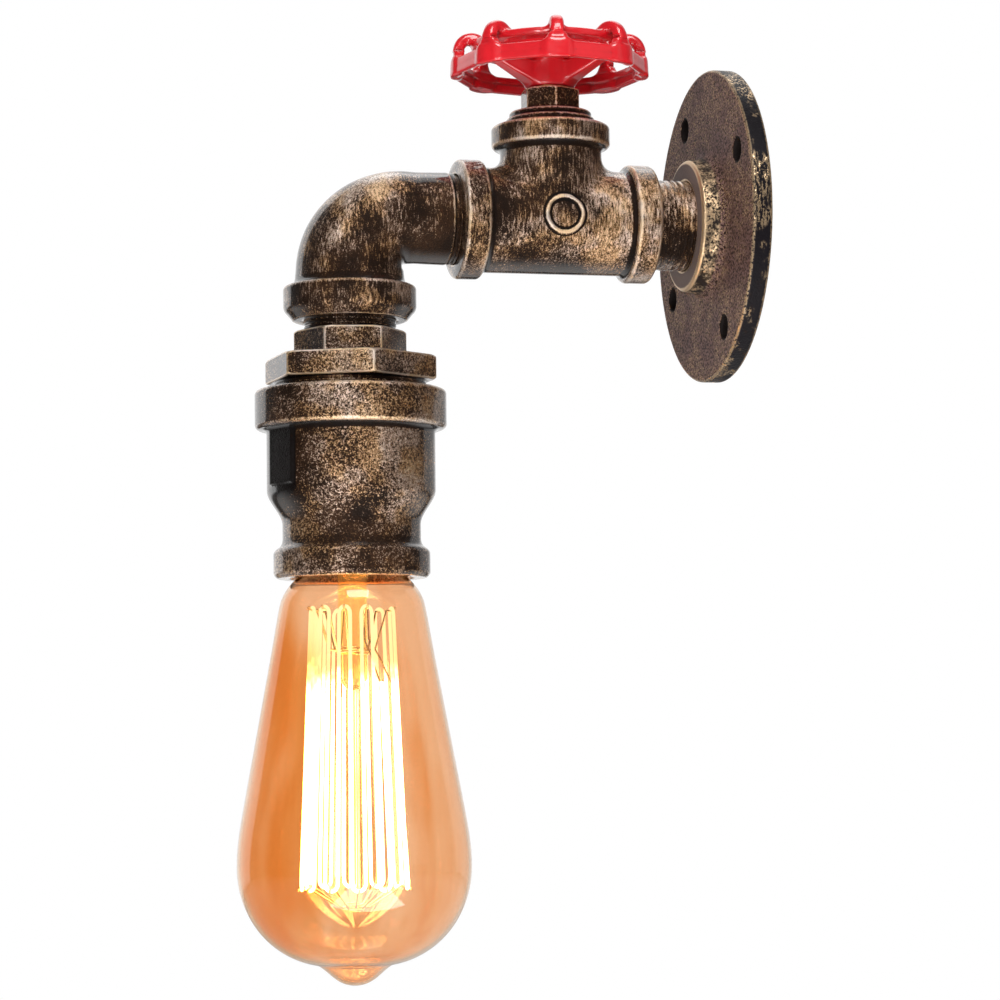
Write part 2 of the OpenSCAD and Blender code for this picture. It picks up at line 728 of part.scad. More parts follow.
module handwheel() {
    corner_r = wheel_d / 2;
    lobe_mid = corner_r - lobe_inset - lobe_reach / 2;
    color(enamel_red) on_valve(0) rotate(wheel_turn) difference() {
        union() {
            translate([0, 0, wheel_low]) cylinder(d = wheel_hub_d, h = wheel_hub_h);
            translate([0, 0, wheel_top - hub_disc_t]) cylinder(d = hub_disc_d, h = hub_disc_t);
            translate([0, 0, rim_low]) difference() {
                cylinder(r = corner_r, h = skirt_h, $fn = wheel_lobes);
                translate([0, 0, -cut])
                    cylinder(r = corner_r - skirt_t, h = skirt_h - ledge_t + cut, $fn = wheel_lobes);
                translate([0, 0, -cut]) cylinder(d = ledge_d, h = skirt_h + 2 * cut);
            }
            translate([0, 0, inner_ring_low])
                ring(inner_ring_d / 2 - inner_ring_t, inner_ring_d / 2, inner_ring_deep);
            for (i = [0:wheel_lobes - 1]) rotate(360 * i / wheel_lobes) lobe(lobe_mid);
            for (i = [0:wheel_spokes - 1]) rotate(spoke_turn + 360 * i / wheel_spokes) spoke();
        }
        translate([0, 0, wheel_low - cut]) cylinder(r = spindle_hole_r, h = wheel_hub_h + 2 * cut);
    }
}

// One lobe: an arch from the raised ring out to a leg on the rim
module lobe(middle) {
    foot = 0.4;
    crown_z = lobe_h - lobe_reach / 2;
    opening_r = lobe_reach / 2 - lobe_t;
    translate([0, lobe_w / 2, rim_low]) rotate([90, 0, 0]) linear_extrude(lobe_w) difference() {
        union() {
            translate([middle, crown_z]) circle(d = lobe_reach);
            translate([middle, foot]) square([lobe_reach / 2, crown_z - foot]);
        }
        translate([middle, crown_z]) circle(r = opening_r);
        translate([middle - lobe_reach, -cut])
            square([lobe_reach + opening_r, crown_z + cut]);
    }
}

// One spoke, rising from the hub to the raised ring
module spoke() {
    reach_r = inner_ring_d / 2 - inner_ring_t / 4;
    foot_in = 1;
    foot_lift = 0.5;
    hub_in = wheel_hub_d / 2 - foot_in;
    hub_low = wheel_low + foot_lift;
    translate([0, spoke_w / 2, 0]) rotate([90, 0, 0]) linear_extrude(spoke_w)
        polygon([[hub_in, hub_low], [reach_r, inner_ring_low - spoke_t],
            [reach_r, inner_ring_low + inner_ring_deep / 2], [hub_in, hub_low + 2 * spoke_t]]);
}

module spindle() {
    groove_r = spindle_d / 2 - circlip_t;
    color(iron_grey) on_valve(0) difference() {
        translate([0, 0, spindle_low]) cylinder(d = spindle_d, h = spindle_top - spindle_low);
        translate([0, 0, circlip_low]) ring(groove_r, spindle_d, circlip_t);
    }
}

module thrust_washer() {
    color(brass_yellow) on_valve(bonnet_top) ring(spindle_hole_r, washer_d / 2, thrust_t);
}

module wheel_washer() {
    color(iron_grey) on_valve(wheel_top) ring(spindle_hole_r, washer_d / 2, washer_t);
}

module wheel_nut() {
    color(iron_grey) on_valve(nut_low) difference() {
        hex_bar(nut_af, nut_h);
        translate([0, 0, -cut]) cylinder(r = spindle_hole_r, h = nut_h + 2 * cut);
    }
}

module switch_rotor() {
    flat_depth = 0.8;
    color(ceramic_white) on_valve(rotor_low) difference() {
        cylinder(d = rotor_d, h = rotor_h);
        translate([0, 0, -cut]) cylinder(r = spindle_hole_r, h = rotor_h + 2 * cut);
        translate([rotor_d / 2 - flat_depth, -rotor_d / 2, -cut])
            cube([rotor_d, rotor_d, rotor_h + 2 * cut]);
    }
}

module spindle_circlip() {
    circlip_w = 1.6;
    inner_r = spindle_d / 2 - circlip_t + screw_fit;
    color(iron_grey) on_valve(circlip_low + screw_fit) difference() {
        ring(inner_r, inner_r + circlip_w, circlip_t - 2 * screw_fit);
        translate([0, -inner_r / 2, -cut]) cube([2 * spindle_d, inner_r, circlip_t + 2 * cut]);
    }
}

module street_elbow() {
    thread_end = tee_end + elbow_thread_show;
    band_top = elbow_face + elbow_band_w;
    socket_top = -bend_r - socket_slack;
    color(bronze) difference() {
        union() {
            along_arm(tee_end - screw_depth) cylinder(r = pipe_r, h = screw_depth + elbow_thread_show);
            along_arm(thread_end) cylinder(r1 = pipe_r, d2 = elbow_tube_d, h = bend_out - thread_end);
            bend(elbow_tube_d / 2);
            on_lamp(band_top) cylinder(d1 = elbow_heel_d, d2 = elbow_tube_d, h = -bend_r - band_top);
            on_lamp(elbow_face) band(elbow_band_d, elbow_band_w, elbow_bevel);
        }
        along_arm(tee_end - screw_depth - cut)
            cylinder(r = bore_r, h = bend_out - tee_end + screw_depth + cut);
        bend(bore_r);
        on_lamp(socket_top - cut) cylinder(r = bore_r, h = -bend_r - socket_top + cut);
        on_lamp(elbow_face - cut) cylinder(r = socket_r, h = socket_top - elbow_face + cut);
    }
}

// A quarter of a round tube, from the arm's axis to the lamp axis
module bend(r) {
    translate([0, -bend_out, -bend_r]) rotate([90, 0, -90]) rotate_extrude(angle = 90)
        translate([bend_r, 0]) circle(r = r);
}

module hex_nipple() {
    tail_h = screw_depth + 2;
    top = -bend_r - socket_slack - swivel_gap;
    low = nipple_hex_low - tail_h;
    color(bronze) on_lamp(0) difference() {
        union() {
            translate([0, 0, low]) cylinder(r = pipe_r, h = top - low);
            translate([0, 0, nipple_hex_low]) rotate(nipple_turn) hex_bar(nipple_af, nipple_hex_h);
        }
        translate([0, 0, low - cut]) cylinder(r = bore_r, h = top - low + 2 * cut);
    }
}

module hex_bush() {
    color(bronze) on_lamp(0) difference() {
        union() {
            translate([0, 0, bush_hex_low]) rotate(bush_turn) hex_bar(bush_af, bush_hex_h);
            translate([0, 0, bush_low]) cylinder(d = bush_d, h = bush_hex_low - bush_low);
        }
        translate([0, 0, bush_low - cut]) cylinder(r = socket_r, h = nipple_hex_low - bush_low + 2 * cut);
    }
}

module reducer_bell() {
    rib_set = 1;
    color(bronze) on_lamp(0) difference() {
        union() {
            translate([0, 0, bell_band_low]) band(bell_top_d, bell_top_h);
            translate([0, 0, taper_top]) cylinder(d = bell_d, h = bell_body_h);
            translate([0, 0, taper_low]) cylinder(d1 = bell_neck_d, d2 = bell_d, h = bell_taper_h);
            translate([0, 0, bell_low]) cylinder(d = bell_neck_d, h = bell_neck_h + bell_low_h);
            translate([0, 0, bell_low]) band(bell_low_d, bell_low_h);
            rotate(rib_turn) translate([-rib_w / 2, -bell_d / 2 - rib_h, taper_top + rib_set])
                cube([rib_w, bell_d + 2 * rib_h, bell_body_h]);
        }
        translate([0, 0, bush_low - bush_room])
            cylinder(d = bush_d + 2 * screw_fit, h = bell_top - bush_low + bush_room + cut);
        translate([0, 0, taper_top]) cylinder(d = bell_cavity_d, h = bell_top - taper_top);
        translate([0, 0, taper_low]) cylinder(d1 = bell_mouth_d, d2 = bell_cavity_d, h = bell_taper_h);
        translate([0, 0, bell_low - cut]) cylinder(d = bell_mouth_d, h = taper_low - bell_low + 2 * cut);
    }
}

module clamp_ring() {
    color(iron_grey) on_lamp(holder_top)
        ring(clamp_ring_bore_d / 2, bell_cavity_d / 2 - seat_gap, clamp_ring_t);
}

// Height at which the bell's inner taper, drawn in by the seat gap, has a radius
function seat_height(r) = taper_low
    + (r + seat_gap - bell_mouth_d / 2) / (bell_cavity_d / 2 - bell_mouth_d / 2) * bell_taper_h;

module holder_body() {
    color(ceramic_white) on_lamp(0) difference() {
        rotate_extrude() polygon([[0, holder_low], [holder_skirt_d / 2, holder_low],
            [holder_skirt_d / 2, seat_height(holder_skirt_d / 2)], [holder_d / 2, seat_height(holder_d / 2)],
            [holder_d / 2, holder_top], [0, holder_top]]);
        translate([0, 0, holder_low - cut]) cylinder(r = holder_bore_r, h = shell_top - holder_low + cut);
        translate([0, 0, shell_top - cut]) cylinder(d = chamber_d, h = chamber_h + cut);
        for (side = [-1, 1]) translate([side * terminal_x, 0, shell_top]) cylinder(
            r = terminal_leg_d / 2 + screw_fit, h = holder_top - shell_top + cut);
    }
}

module screw_shell() {
    color(brass_yellow) on_lamp(0) {
        difference() {
            translate([0, 0, shell_low]) cylinder(r = shell_out_r, h = shell_h - screw_fit);
            translate([0, 0, shell_low - cut])
                cylinder(r = shell_in_r, h = shell_h + cut - screw_fit - shell_t);
            translate([0, 0, shell_low]) cylinder(d = shell_lip_d, h = shell_h);
        }
    }
}

module centre_contact() {
    reach = terminal_x + terminal_leg_d / 2;
    stub = tongue_low - insulator_top - tip_h - seat_gap;
    color(brass_yellow) on_lamp(tongue_low - screw_fit) {
        translate([-tongue_w / 2, -tongue_w / 2, 0]) cube([reach + tongue_w / 2, tongue_w, tongue_t]);
        translate([0, 0, -stub]) cylinder(d = tongue_w, h = stub);
    }
}

module holder_terminals() {
    color(brass_yellow) on_lamp(0) for (side = [-1, 1]) translate([side * terminal_x, 0, 0]) {
        leg_low = side > 0 ? chamber_top : shell_top;
        difference() {
            union() {
                translate([-terminal_w / 2, -terminal_w / 2, holder_top])
                    cube([terminal_w, terminal_w, terminal_h]);
                translate([0, 0, leg_low]) cylinder(d = terminal_leg_d, h = holder_top - leg_low);
            }
            translate([0, 0, holder_top + screw_seat])
                cylinder(d = screw_shank_d + 2 * screw_fit, h = terminal_h);
        }
    }
}

module holder_terminal_screws() {
    tip = screw_seat + screw_tip_gap;
    color(iron_grey) on_lamp(holder_top) for (side = [-1, 1]) translate([side * terminal_x, 0, 0]) {
        translate([0, 0, tip]) cylinder(d = screw_shank_d, h = terminal_h - tip);
        translate([0, 0, terminal_h]) cylinder(d = clamp_head_d, h = clamp_head_h);
    }
}

module head_lead() {
    color(sheath_black) swept_tube(lead_route, lead_d / 2, [1, 0, 0]);
}

// Core from the end of the lead to the terminal on one side
module head_core(side) {
    start = lead_end_z - seat_gap;
    entry_z = holder_top + terminal_h / 2;
    entry_x = terminal_x - terminal_w / 2 - end_gap;
    on_lamp(0) swept_tube([[side * 1.4, 0, start], [side * 1.4, 0, start - 3], [side * 1.6, 0, entry_z + 2.4],
        [side * 2.6, 0, entry_z + 0.5], [side * entry_x, 0, entry_z]], core_r, [0, 1, 0]);
}

module head_neutral_core() {
    color(core_blue) head_core(-1);
}

module head_live_core() {
    color(core_brown) head_core(1);
}

module bulb_glass() {
    inner = [for (p = glass_outline) [max(p.x - glass_t, 0), p.x <= tip_zone_r ? p.y + glass_t : p.y]];
    color(amber_glass, 0.5) on_lamp(bell_low) rotate_extrude() polygon(concat(glass_outline, [[0, -bulb_len]],
        [[0, glass_t - bulb_len]], [for (i = [len(inner) - 1:-1:0]) if (inner[i].x > 0) inner[i]]));
}

module bulb_cap() {
    cap_hole_d = tip_d + 4;
    color(brass_yellow) on_lamp(cap_low) difference() {
        cylinder(d = cap_d, h = cap_h);
        translate([0, 0, -cut]) cylinder(r = cap_d / 2 - cap_t, h = cap_h - cap_t + cut);
        cylinder(d = cap_hole_d, h = cap_h + cut);
    }
}

module cap_insulator() {
    foot_d = cap_d - 4;
    top_d = tip_d + socket_slack;
    lead_hole_d = 2;
    color(moulded_black) on_lamp(cap_top) difference() {
        cylinder(d1 = foot_d, d2 = top_d, h = insulator_h);
        translate([0, 0, -cut]) cylinder(d = lead_hole_d, h = insulator_h + 2 * cut);
    }
}

module bulb_tip_contact() {
    color(iron_grey) on_lamp(insulator_top) cylinder(d1 = tip_d, d2 = tip_d - tip_h, h = tip_h);
}

module glass_stem() {
    flare_top = neck_top_z - swivel_gap;
    rod_r = rod_d / 2;
    flare = 2;
    flare_r = glass_neck_d / 2 - glass_t - seat_gap;
    stem_r = stem_d / 2;
    color(stem_white) on_lamp(bell_low) rotate_extrude() polygon([[0, -rod_len], [rod_r, -rod_len],
        [rod_r, -stem_len - stem_taper], [stem_r, -stem_len], [stem_r, flare], [flare_r, flare_top],
        [0, flare_top]]);
}

module filament() {
    color(glow_yellow) on_lamp(bell_low) swept_tube(filament_route, filament_d / 2, [0.31, 0.17, 0.02]);
}

// Collar on the stem or its rod, with hooks from it to every second bend of the filament
module hook_star(seat_d, collar_low, first, last, reach_z) {
    collar_r = seat_d / 2 + seat_gap;
    root_r = collar_r + hook_collar_w / 2;
    translate([0, 0, collar_low]) ring(collar_r, collar_r + hook_collar_w, hook_collar_h);
    for (i = [first:2:last]) {
        bend_at = hairpin(i)[crown];
        root = root_r * unit([bend_at.x, bend_at.y]);
        wire(concat(root, collar_low + hook_collar_h / 2), bend_at + [0, 0, reach_z], hook_d);
    }
}

module filament_hooks() {
    hook_gap = (filament_d + hook_d) / 2 + seat_gap;
    color(iron_grey) on_lamp(bell_low) {
        hook_star(rod_d, hook_d - rod_len, 1, strands - 3, hook_gap);
        hook_star(stem_d, -hook_collar_drop, 2, strands - 4, -hook_gap);
    }
}

module lead_in_wires() {
    start_r = stem_d / 2 + hook_d;
    end_r = cage_top_r - (filament_d + hook_d) / 2 - seat_gap;
    color(iron_grey) on_lamp(bell_low) for (i = [0, strands - 2])
        wire(concat(strand_at(i, start_r), -lead_in_top),
            concat(strand_at(i, end_r), filament_end_z), hook_d);
}

wall_flange();
wall_nipple();
tee_body();
valve_bonnet();
gland_packing();
switch_case();
switch_base();
switch_contacts();
terminal_block();
terminal_inserts();
terminal_screws();
feed_live_wire();
switched_live_wire();
neutral_wire();
handwheel();
spindle();
thrust_washer();
wheel_washer();
wheel_nut();
switch_rotor();
spindle_circlip();
street_elbow();
hex_nipple();
hex_bush();
reducer_bell();
clamp_ring();
holder_body();
screw_shell();
centre_contact();
holder_terminals();
holder_terminal_screws();
head_lead();
head_neutral_core();
head_live_core();
bulb_glass();
bulb_cap();
cap_insulator();
bulb_tip_contact();
glass_stem();
lead_in_wires();
filament();
filament_hooks();
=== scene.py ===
"""Looks of a wall lamp made of screwed pipe fittings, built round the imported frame."""
import math

import bpy
import numpy as np
from mathutils import Matrix, Vector


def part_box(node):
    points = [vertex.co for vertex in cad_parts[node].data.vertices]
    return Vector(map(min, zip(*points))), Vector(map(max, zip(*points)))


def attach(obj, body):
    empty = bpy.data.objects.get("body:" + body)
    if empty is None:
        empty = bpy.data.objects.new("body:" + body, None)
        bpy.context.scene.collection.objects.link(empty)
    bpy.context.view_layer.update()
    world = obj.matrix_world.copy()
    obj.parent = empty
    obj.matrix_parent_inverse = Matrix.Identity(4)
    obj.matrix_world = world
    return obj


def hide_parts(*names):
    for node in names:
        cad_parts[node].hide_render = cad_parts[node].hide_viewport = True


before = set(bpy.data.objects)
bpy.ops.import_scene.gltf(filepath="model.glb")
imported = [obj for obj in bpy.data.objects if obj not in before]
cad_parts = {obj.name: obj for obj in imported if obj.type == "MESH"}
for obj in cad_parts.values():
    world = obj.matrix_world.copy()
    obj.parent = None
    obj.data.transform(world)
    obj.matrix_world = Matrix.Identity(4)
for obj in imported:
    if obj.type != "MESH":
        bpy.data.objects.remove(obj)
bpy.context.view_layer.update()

MM = 0.001
Y, Z = 1, 2


def reach(node, axis):
    """Lowest and highest place of a CAD node along an axis, in millimetres."""
    low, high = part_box(node)
    return low[axis] / MM, high[axis] / MM


# Places on the lamp, in millimetres
lamp_y = sum(reach("reducer_bell", Y)) / 2
valve_y = sum(reach("spindle", Y)) / 2
tee_far, tee_near = reach("tee_body", Y)
tee_half = (tee_near - tee_far) / 2
tee_top = reach("tee_body", Z)[1]
bell_low, bell_top = reach("reducer_bell", Z)
glass_low, glass_top = reach("bulb_glass", Z)
wheel_low = reach("handwheel", Z)[0]
hub_out = -reach("wall_flange", Y)[0]
elbow_face = reach("street_elbow", Z)[0]
bush_low, bush_top = reach("hex_bush", Z)

# Sizes shared by the screwed joints
pipe_r = 12.6
thread_core_r = pipe_r - 0.3
socket_r = 12.65
bore_r = 9.8
socket_depth = 12.6
bush_thread_r = 20.6
spindle_hole_r = 3.05

# Sizes of the wall flange that its shape and its paint share
flange_r = 44.25
flange_t = 5.7
screw_hole_r = 3.25
screw_holes = 4
first_hole_turn = 28
hole_circle_r = 35.0

# Sizes of the bell's ribs
rib_half_w = 5.6
rib_turn = 23
rib_face = 23.0


# Shapes as distance fields: negative inside, in millimetres


def blend(a, b, ease):
    """Both shapes, with a fillet where they meet."""
    share = np.clip(0.5 + 0.5 * (b - a) / ease, 0, 1)
    return b + (a - b) * share - ease * share * (1 - share)


def within(a, b, ease):
    """What the shapes have in common, with eased edges."""
    return -blend(-a, -b, ease)


def without(a, b, ease=0.4):
    """The first shape with the second cut out of it, with eased edges."""
    return -blend(-a, b, ease)


def slab(along, low, high):
    """Everything between two levels."""
    return np.abs(along - (low + high) / 2) - (high - low) / 2


def drum(r, along, radius, low, high, ease):
    """Cylinder with rounded edges."""
    side = r - radius + ease
    end = slab(along, low, high) + ease
    outside = np.hypot(np.maximum(side, 0), np.maximum(end, 0))
    return outside + np.minimum(np.maximum(side, end), 0) - ease


def hexagon(u, v, turn, flat_r, ease):
    """Six sides of a bar, with eased corners."""
    sides = None
    for k in range(3):
        angle = math.radians(turn + 30 + 60 * k)
        side = np.abs(u * math.cos(angle) + v * math.sin(angle)) - flat_r
        sides = side if sides is None else within(sides, side, ease)
    return sides


def hex_head(u, v, along, turn, flat_r, low, high, top_bevel, low_bevel):
    """Hexagon with bevelled corners at both ends."""
    r = np.hypot(u, v)
    slope = 1.7
    length = math.hypot(1, slope)
    body = within(hexagon(u, v, turn, flat_r, 0.35), slab(along, low, high), 0.3)
    corner_r = flat_r / math.cos(math.radians(30))
    body = within(body, (r - corner_r + top_bevel - slope * (high - along)) / length, 0.25)
    return within(body, (r - corner_r + low_bevel - slope * (along - low)) / length, 0.25)


def smooth_step(x, low, high):
    """0 below the low value and 1 above the high one."""
    t = np.clip((x - low) / (high - low), 0, 1)
    return t * t * (3 - 2 * t)


def from_screw_hole(x, z):
    """Distance from the middle of the nearest screw hole of the flange."""
    nearest = np.full_like(x, math.inf)
    for k in range(screw_holes):
        angle = math.radians(first_hole_turn + 360 / screw_holes * k)
        hole_x, hole_z = hole_circle_r * math.cos(angle), hole_circle_r * math.sin(angle)
        nearest = np.minimum(nearest, np.hypot(x - hole_x, z - hole_z))
    return nearest


def flange_shape(x, y, z):
    hub_r, hub_taper = 18.5, 0.12
    r = np.hypot(x, z)
    out = -y
    plate = drum(r, out, flange_r, 0, flange_t, 0.8)
    hub = drum(r, out, hub_r + hub_taper * (hub_out - out), 1, hub_out, 1.0)
    body = np.maximum(blend(plate, hub, 3.2), -out)
    body = without(body, from_screw_hole(x, z) - screw_hole_r, 0.8)
    return without(body, r - socket_r, 0.7)


def tee_shape(x, y, z):
    run_r, branch_r, band_r = 14.7, 14.3, 16.7
    run_bore_r, branch_bore_r = 10.4, 10.0
    band_w, branch_band_w = 7.0, 6.2
    ring_r, ring_wire_r, far_off = 5.05, 0.62, 9
    side_ease, more_ease = 0.3, 4.2
    out = valve_y - y
    r = np.hypot(x, z)
    branch_axis_r = np.hypot(x, out)
    run = drum(r, out, run_r, -tee_half, tee_half, 0.6)
    branch = drum(branch_axis_r, z, branch_r, 0, tee_top, 0.6)
    crotch = side_ease + more_ease * np.clip(1 - (x / branch_r) ** 2, 0, 1)
    body = blend(run, branch, crotch)
    ring = np.hypot(np.hypot(out, z) - ring_r, np.where(x > 0, body, far_off)) - ring_wire_r
    body = blend(body, ring, 0.5)
    for side in (-1, 1):
        band = drum(r, side * out, band_r, tee_half - band_w, tee_half, 1.1)
        body = blend(body, band, 1.6)
    top_band = drum(branch_axis_r, z, band_r, tee_top - branch_band_w, tee_top, 1.1)
    body = blend(body, top_band, 1.6)
    body = without(body, np.maximum(r - run_bore_r, np.abs(out) - tee_half - 1))
    body = without(body, np.maximum(branch_axis_r - branch_bore_r, -z))
    body = without(body, np.maximum(r - socket_r, tee_half - socket_depth - np.abs(out)))
    return without(body, np.maximum(branch_axis_r - socket_r, tee_top - socket_depth - z))


def bonnet_shape(x, y, z):
    low, high = reach("valve_bonnet", Z)
    collar_r, step_r, hex_flat_r, hex_turn = 12.5, 11.6, 7.5, -3
    collar_top, step_top = tee_top + 2.2, tee_top + 4
    neck_r, neck_top = 5.05, 29
    v = y - valve_y
    r = np.hypot(x, v)
    body = drum(r, z, collar_r, tee_top, collar_top, 0.6)
    body = np.minimum(body, drum(r, z, pipe_r, low, tee_top, 0.6))
    body = blend(body, drum(r, z, step_r, tee_top, step_top, 0.6), 0.5)
    body = blend(body, hex_head(x, v, z, hex_turn, hex_flat_r, collar_top, high, 0.7, 0), 0.6)
    body = without(body, np.maximum(r - neck_r, z - neck_top))
    return without(body, r - spindle_hole_r)


def wheel_shape(x, y, z):
    turn, corners = math.radians(-10), 8
    rim_low, skirt_h, skirt_t, skirt_lean, corner_ease = wheel_low + 3.4, 4.4, 2.0, 0.1, 1.6
    ledge_t, ledge_r = 1.4, 24.0
    ring_r, ring_t, ring_h, ring_deep = 22.0, 6.0, 9.6, 2.2
    lobe_r, lobe_h, lobe_mid, lobe_t = 5.3, 12.5, 22.0, 3.2
    lobe_top_half_w, lobe_flare = 1.95, 1.5
    flat_r, hub_r, hub_h, disc_r, disc_t = 26.33, 6.5, 12.5, 14.0, 2.6
    spokes, spoke_turn, spoke_half_w, spoke_flare = 3, math.radians(55), 2.2, 1.2
    spoke_t, spoke_foot, spoke_start, spoke_reach = 3.0, 0.5, 4, 20.5
    dy = y - valve_y
    u = x * math.cos(turn) + dy * math.sin(turn)
    v = dy * math.cos(turn) - x * math.sin(turn)
    rho = np.hypot(u, v)
    angle = np.arctan2(v, u)
    h = z - rim_low
    eighth = 2 * math.pi / corners
    from_corner = np.mod(angle + eighth / 2, eighth) - eighth / 2
    p, q = rho * np.cos(from_corner), rho * np.sin(from_corner)
    side_r = flat_r + skirt_lean * (skirt_h / 2 - h)
    sides = p * math.cos(eighth / 2) + np.hypot(q, corner_ease) * math.sin(eighth / 2) - side_r
    skirt = within(within(sides, -skirt_t - sides, 0.6), slab(h, 0, skirt_h), 0.8)
    ledge_low = skirt_h - ledge_t
    ledge = np.maximum(np.maximum(sides + 0.4, ledge_r - rho), slab(h, ledge_low, skirt_h))
    ring_low = ring_h - ring_deep
    ring = within(np.abs(rho - ring_r + ring_t / 2) - ring_t / 2, slab(h, ring_low, ring_h), 1.0)
    rim = np.minimum(blend(skirt, ledge, 0.8), ring)
    crown_h = lobe_h - lobe_r
    arch_r = np.hypot(p - lobe_mid, h - crown_h)
    arch = np.abs(arch_r - lobe_r + lobe_t / 2) - lobe_t / 2
    leg_out = lobe_mid + lobe_r
    leg = np.maximum(slab(p, leg_out - lobe_t, leg_out - 0.1), slab(h, 0.5, crown_h))
    lobe_half_w = lobe_top_half_w + lobe_flare * (1 - smooth_step(h, skirt_h - 1, ring_h))
    lobe = within(blend(np.maximum(arch, crown_h - h), leg, 0.5), np.abs(q) - lobe_half_w, 1.8)
    wheel = blend(rim, lobe, 1.8)
    share_turn = 2 * math.pi / spokes
    from_spoke = np.mod(angle - spoke_turn + share_turn / 2, share_turn) - share_turn / 2
    along, across = rho * np.cos(from_spoke), rho * np.sin(from_spoke)
    share = np.clip((along - hub_r + 1) / (spoke_reach - hub_r + 1), 0, 1)
    under = wheel_low + spoke_foot + share * (rim_low + ring_low - spoke_t - wheel_low - spoke_foot)
    over = under + 2 * spoke_t - share * (spoke_t - ring_deep / 2)
    half_w = spoke_half_w + spoke_flare * (1 - share) ** 2
    spoke = within(np.abs(across) - half_w, slab(z, under, over), 1.0)
    spoke = within(spoke, slab(along, spoke_start, spoke_reach), 0.5)
    hub = drum(rho, z, hub_r, wheel_low, wheel_low + hub_h, 0.7)
    disc = drum(rho, z, disc_r, wheel_low + hub_h - disc_t, wheel_low + hub_h, 0.9)
    hub = blend(blend(spoke, hub, 2.0), disc, 1.0)
    wheel = blend(wheel, hub, 2.0)
    wheel = np.maximum(wheel, wheel_low - z)
    return without(wheel, rho - spindle_hole_r)


def elbow_path(y, z, bend_r, bend_y):
    """Distance along the elbow's centre line, and the distance from it in the plane of the bend."""
    out = bend_y - y
    drop = -bend_r - z
    turn_r = np.hypot(out, z + bend_r)
    turned = np.arctan2(np.maximum(out, 0), np.maximum(z + bend_r, 1e-6))
    in_bend = (out >= 0) & (drop <= 0)
    below = drop > 0
    along = np.where(in_bend, bend_r * turned, np.where(below, bend_r * math.pi / 2 + drop, out))
    away = np.where(in_bend, turn_r - bend_r, np.where(below, y - lamp_y, z))
    return along, away


def elbow_shape(x, y, z):
    bend_r, thread_show, thread_reach, socket_top, bore_reach = 15.5, 2.4, 12, 0.6, 40
    band_r, band_w, band_bevel, bevel_slope = 18.4, 9.0, 2.3, 0.7071
    bend_y = lamp_y + bend_r
    along, away = elbow_path(y, z, bend_r, bend_y)
    r = np.hypot(x, away)
    lamp_r = np.hypot(x, y - lamp_y)
    tube_start = -(tee_far - thread_show - bend_y)
    tube_at = [tube_start, -3, 5, 12, 18, 24, 29]
    tube_radii = [12.9, 12.7, 13.2, 13.9, 14.5, 14.9, 15.4]
    tube = within(r - np.interp(along, tube_at, tube_radii), tube_start - along, 0.8)
    thread_far, thread_near = tee_far - thread_show - 2, tee_far + thread_reach
    thread = drum(np.hypot(x, z), y, thread_core_r, thread_far, thread_near, 0.5)
    body = np.minimum(np.maximum(tube, elbow_face - z), thread)
    band = drum(lamp_r, z, band_r, elbow_face, elbow_face + band_w, 1.2)
    band = within(band, (lamp_r - band_r + elbow_face + band_bevel - z) * bevel_slope, 0.8)
    body = blend(body, band, 2.2)
    body = without(body, np.maximum(r - bore_r, -along - bore_reach))
    socket = np.maximum(lamp_r - socket_r, z + bend_r + socket_top)
    return without(body, socket, 0.6)


def nipple_shape(x, y, z):
    low, high = reach("hex_nipple", Z)
    hex_low, hex_top = bush_top, elbow_face - 3.4
    hex_turn, hex_flat_r = 22, 13.55
    v = y - lamp_y
    r = np.hypot(x, v)
    body = drum(r, z, thread_core_r, low, high, 0.6)
    body = blend(body, hex_head(x, v, z, hex_turn, hex_flat_r, hex_low, hex_top, 0.9, 0.5), 0.5)
    return without(body, r - bore_r)


def bush_shape(x, y, z):
    hex_low, hex_turn, hex_flat_r = bush_top - 6.8, 4, 21.15
    v = y - lamp_y
    r = np.hypot(x, v)
    body = drum(r, z, bush_thread_r, bush_low, bush_top - 1, 0.6)
    body = blend(body, hex_head(x, v, z, hex_turn, hex_flat_r, hex_low, bush_top, 1.1, 0.9), 0.5)
    return without(body, r - socket_r)


def rib_place(x, y):
    """Place across and outward of the bell's two flat ribs."""
    turn = math.radians(rib_turn)
    v = y - lamp_y
    return x * math.cos(turn) + v * math.sin(turn), v * math.cos(turn) - x * math.sin(turn)


def bell_shape(x, y, z):
    top_r, body_r, neck_r, low_r = 26.4, 23.2, 19.0, 21.45
    top_h, body_h, taper_h, low_h = 10.8, 16.8, 10.1, 7.4
    hole_low_r, hole_body_r, hole_top_r, rib_h = 16.7, 20.2, 20.95, 0.2
    wall_slope = 0.93
    band_low = bell_top - top_h
    taper_top = band_low - body_h
    taper_low = taper_top - taper_h
    v = y - lamp_y
    r = np.hypot(x, v)
    outer_r = neck_r + (body_r - neck_r) * smooth_step(z, taper_low + 0.6, taper_top)
    wall = np.maximum((r - outer_r) * wall_slope, slab(z, bell_low + 1, bell_top - 1))
    across, outward = rib_place(x, y)
    rib = np.maximum(np.abs(outward) - body_r - rib_h, slab(z, taper_top + 1, band_low))
    body = blend(wall, within(np.abs(across) - rib_half_w, rib, 0.5), 0.5)
    body = blend(body, drum(r, z, top_r, band_low, bell_top, 1.3), 1.5)
    body = blend(body, drum(r, z, low_r, bell_low, bell_low + low_h, 1.3), 3.2)
    hole_at = [taper_low, taper_top, bush_low - 1.1, bush_low - 1]
    hole_radii = [hole_low_r, hole_body_r, hole_body_r, hole_top_r]
    return without(body, r - np.interp(z, hole_at, hole_radii), 0.7)


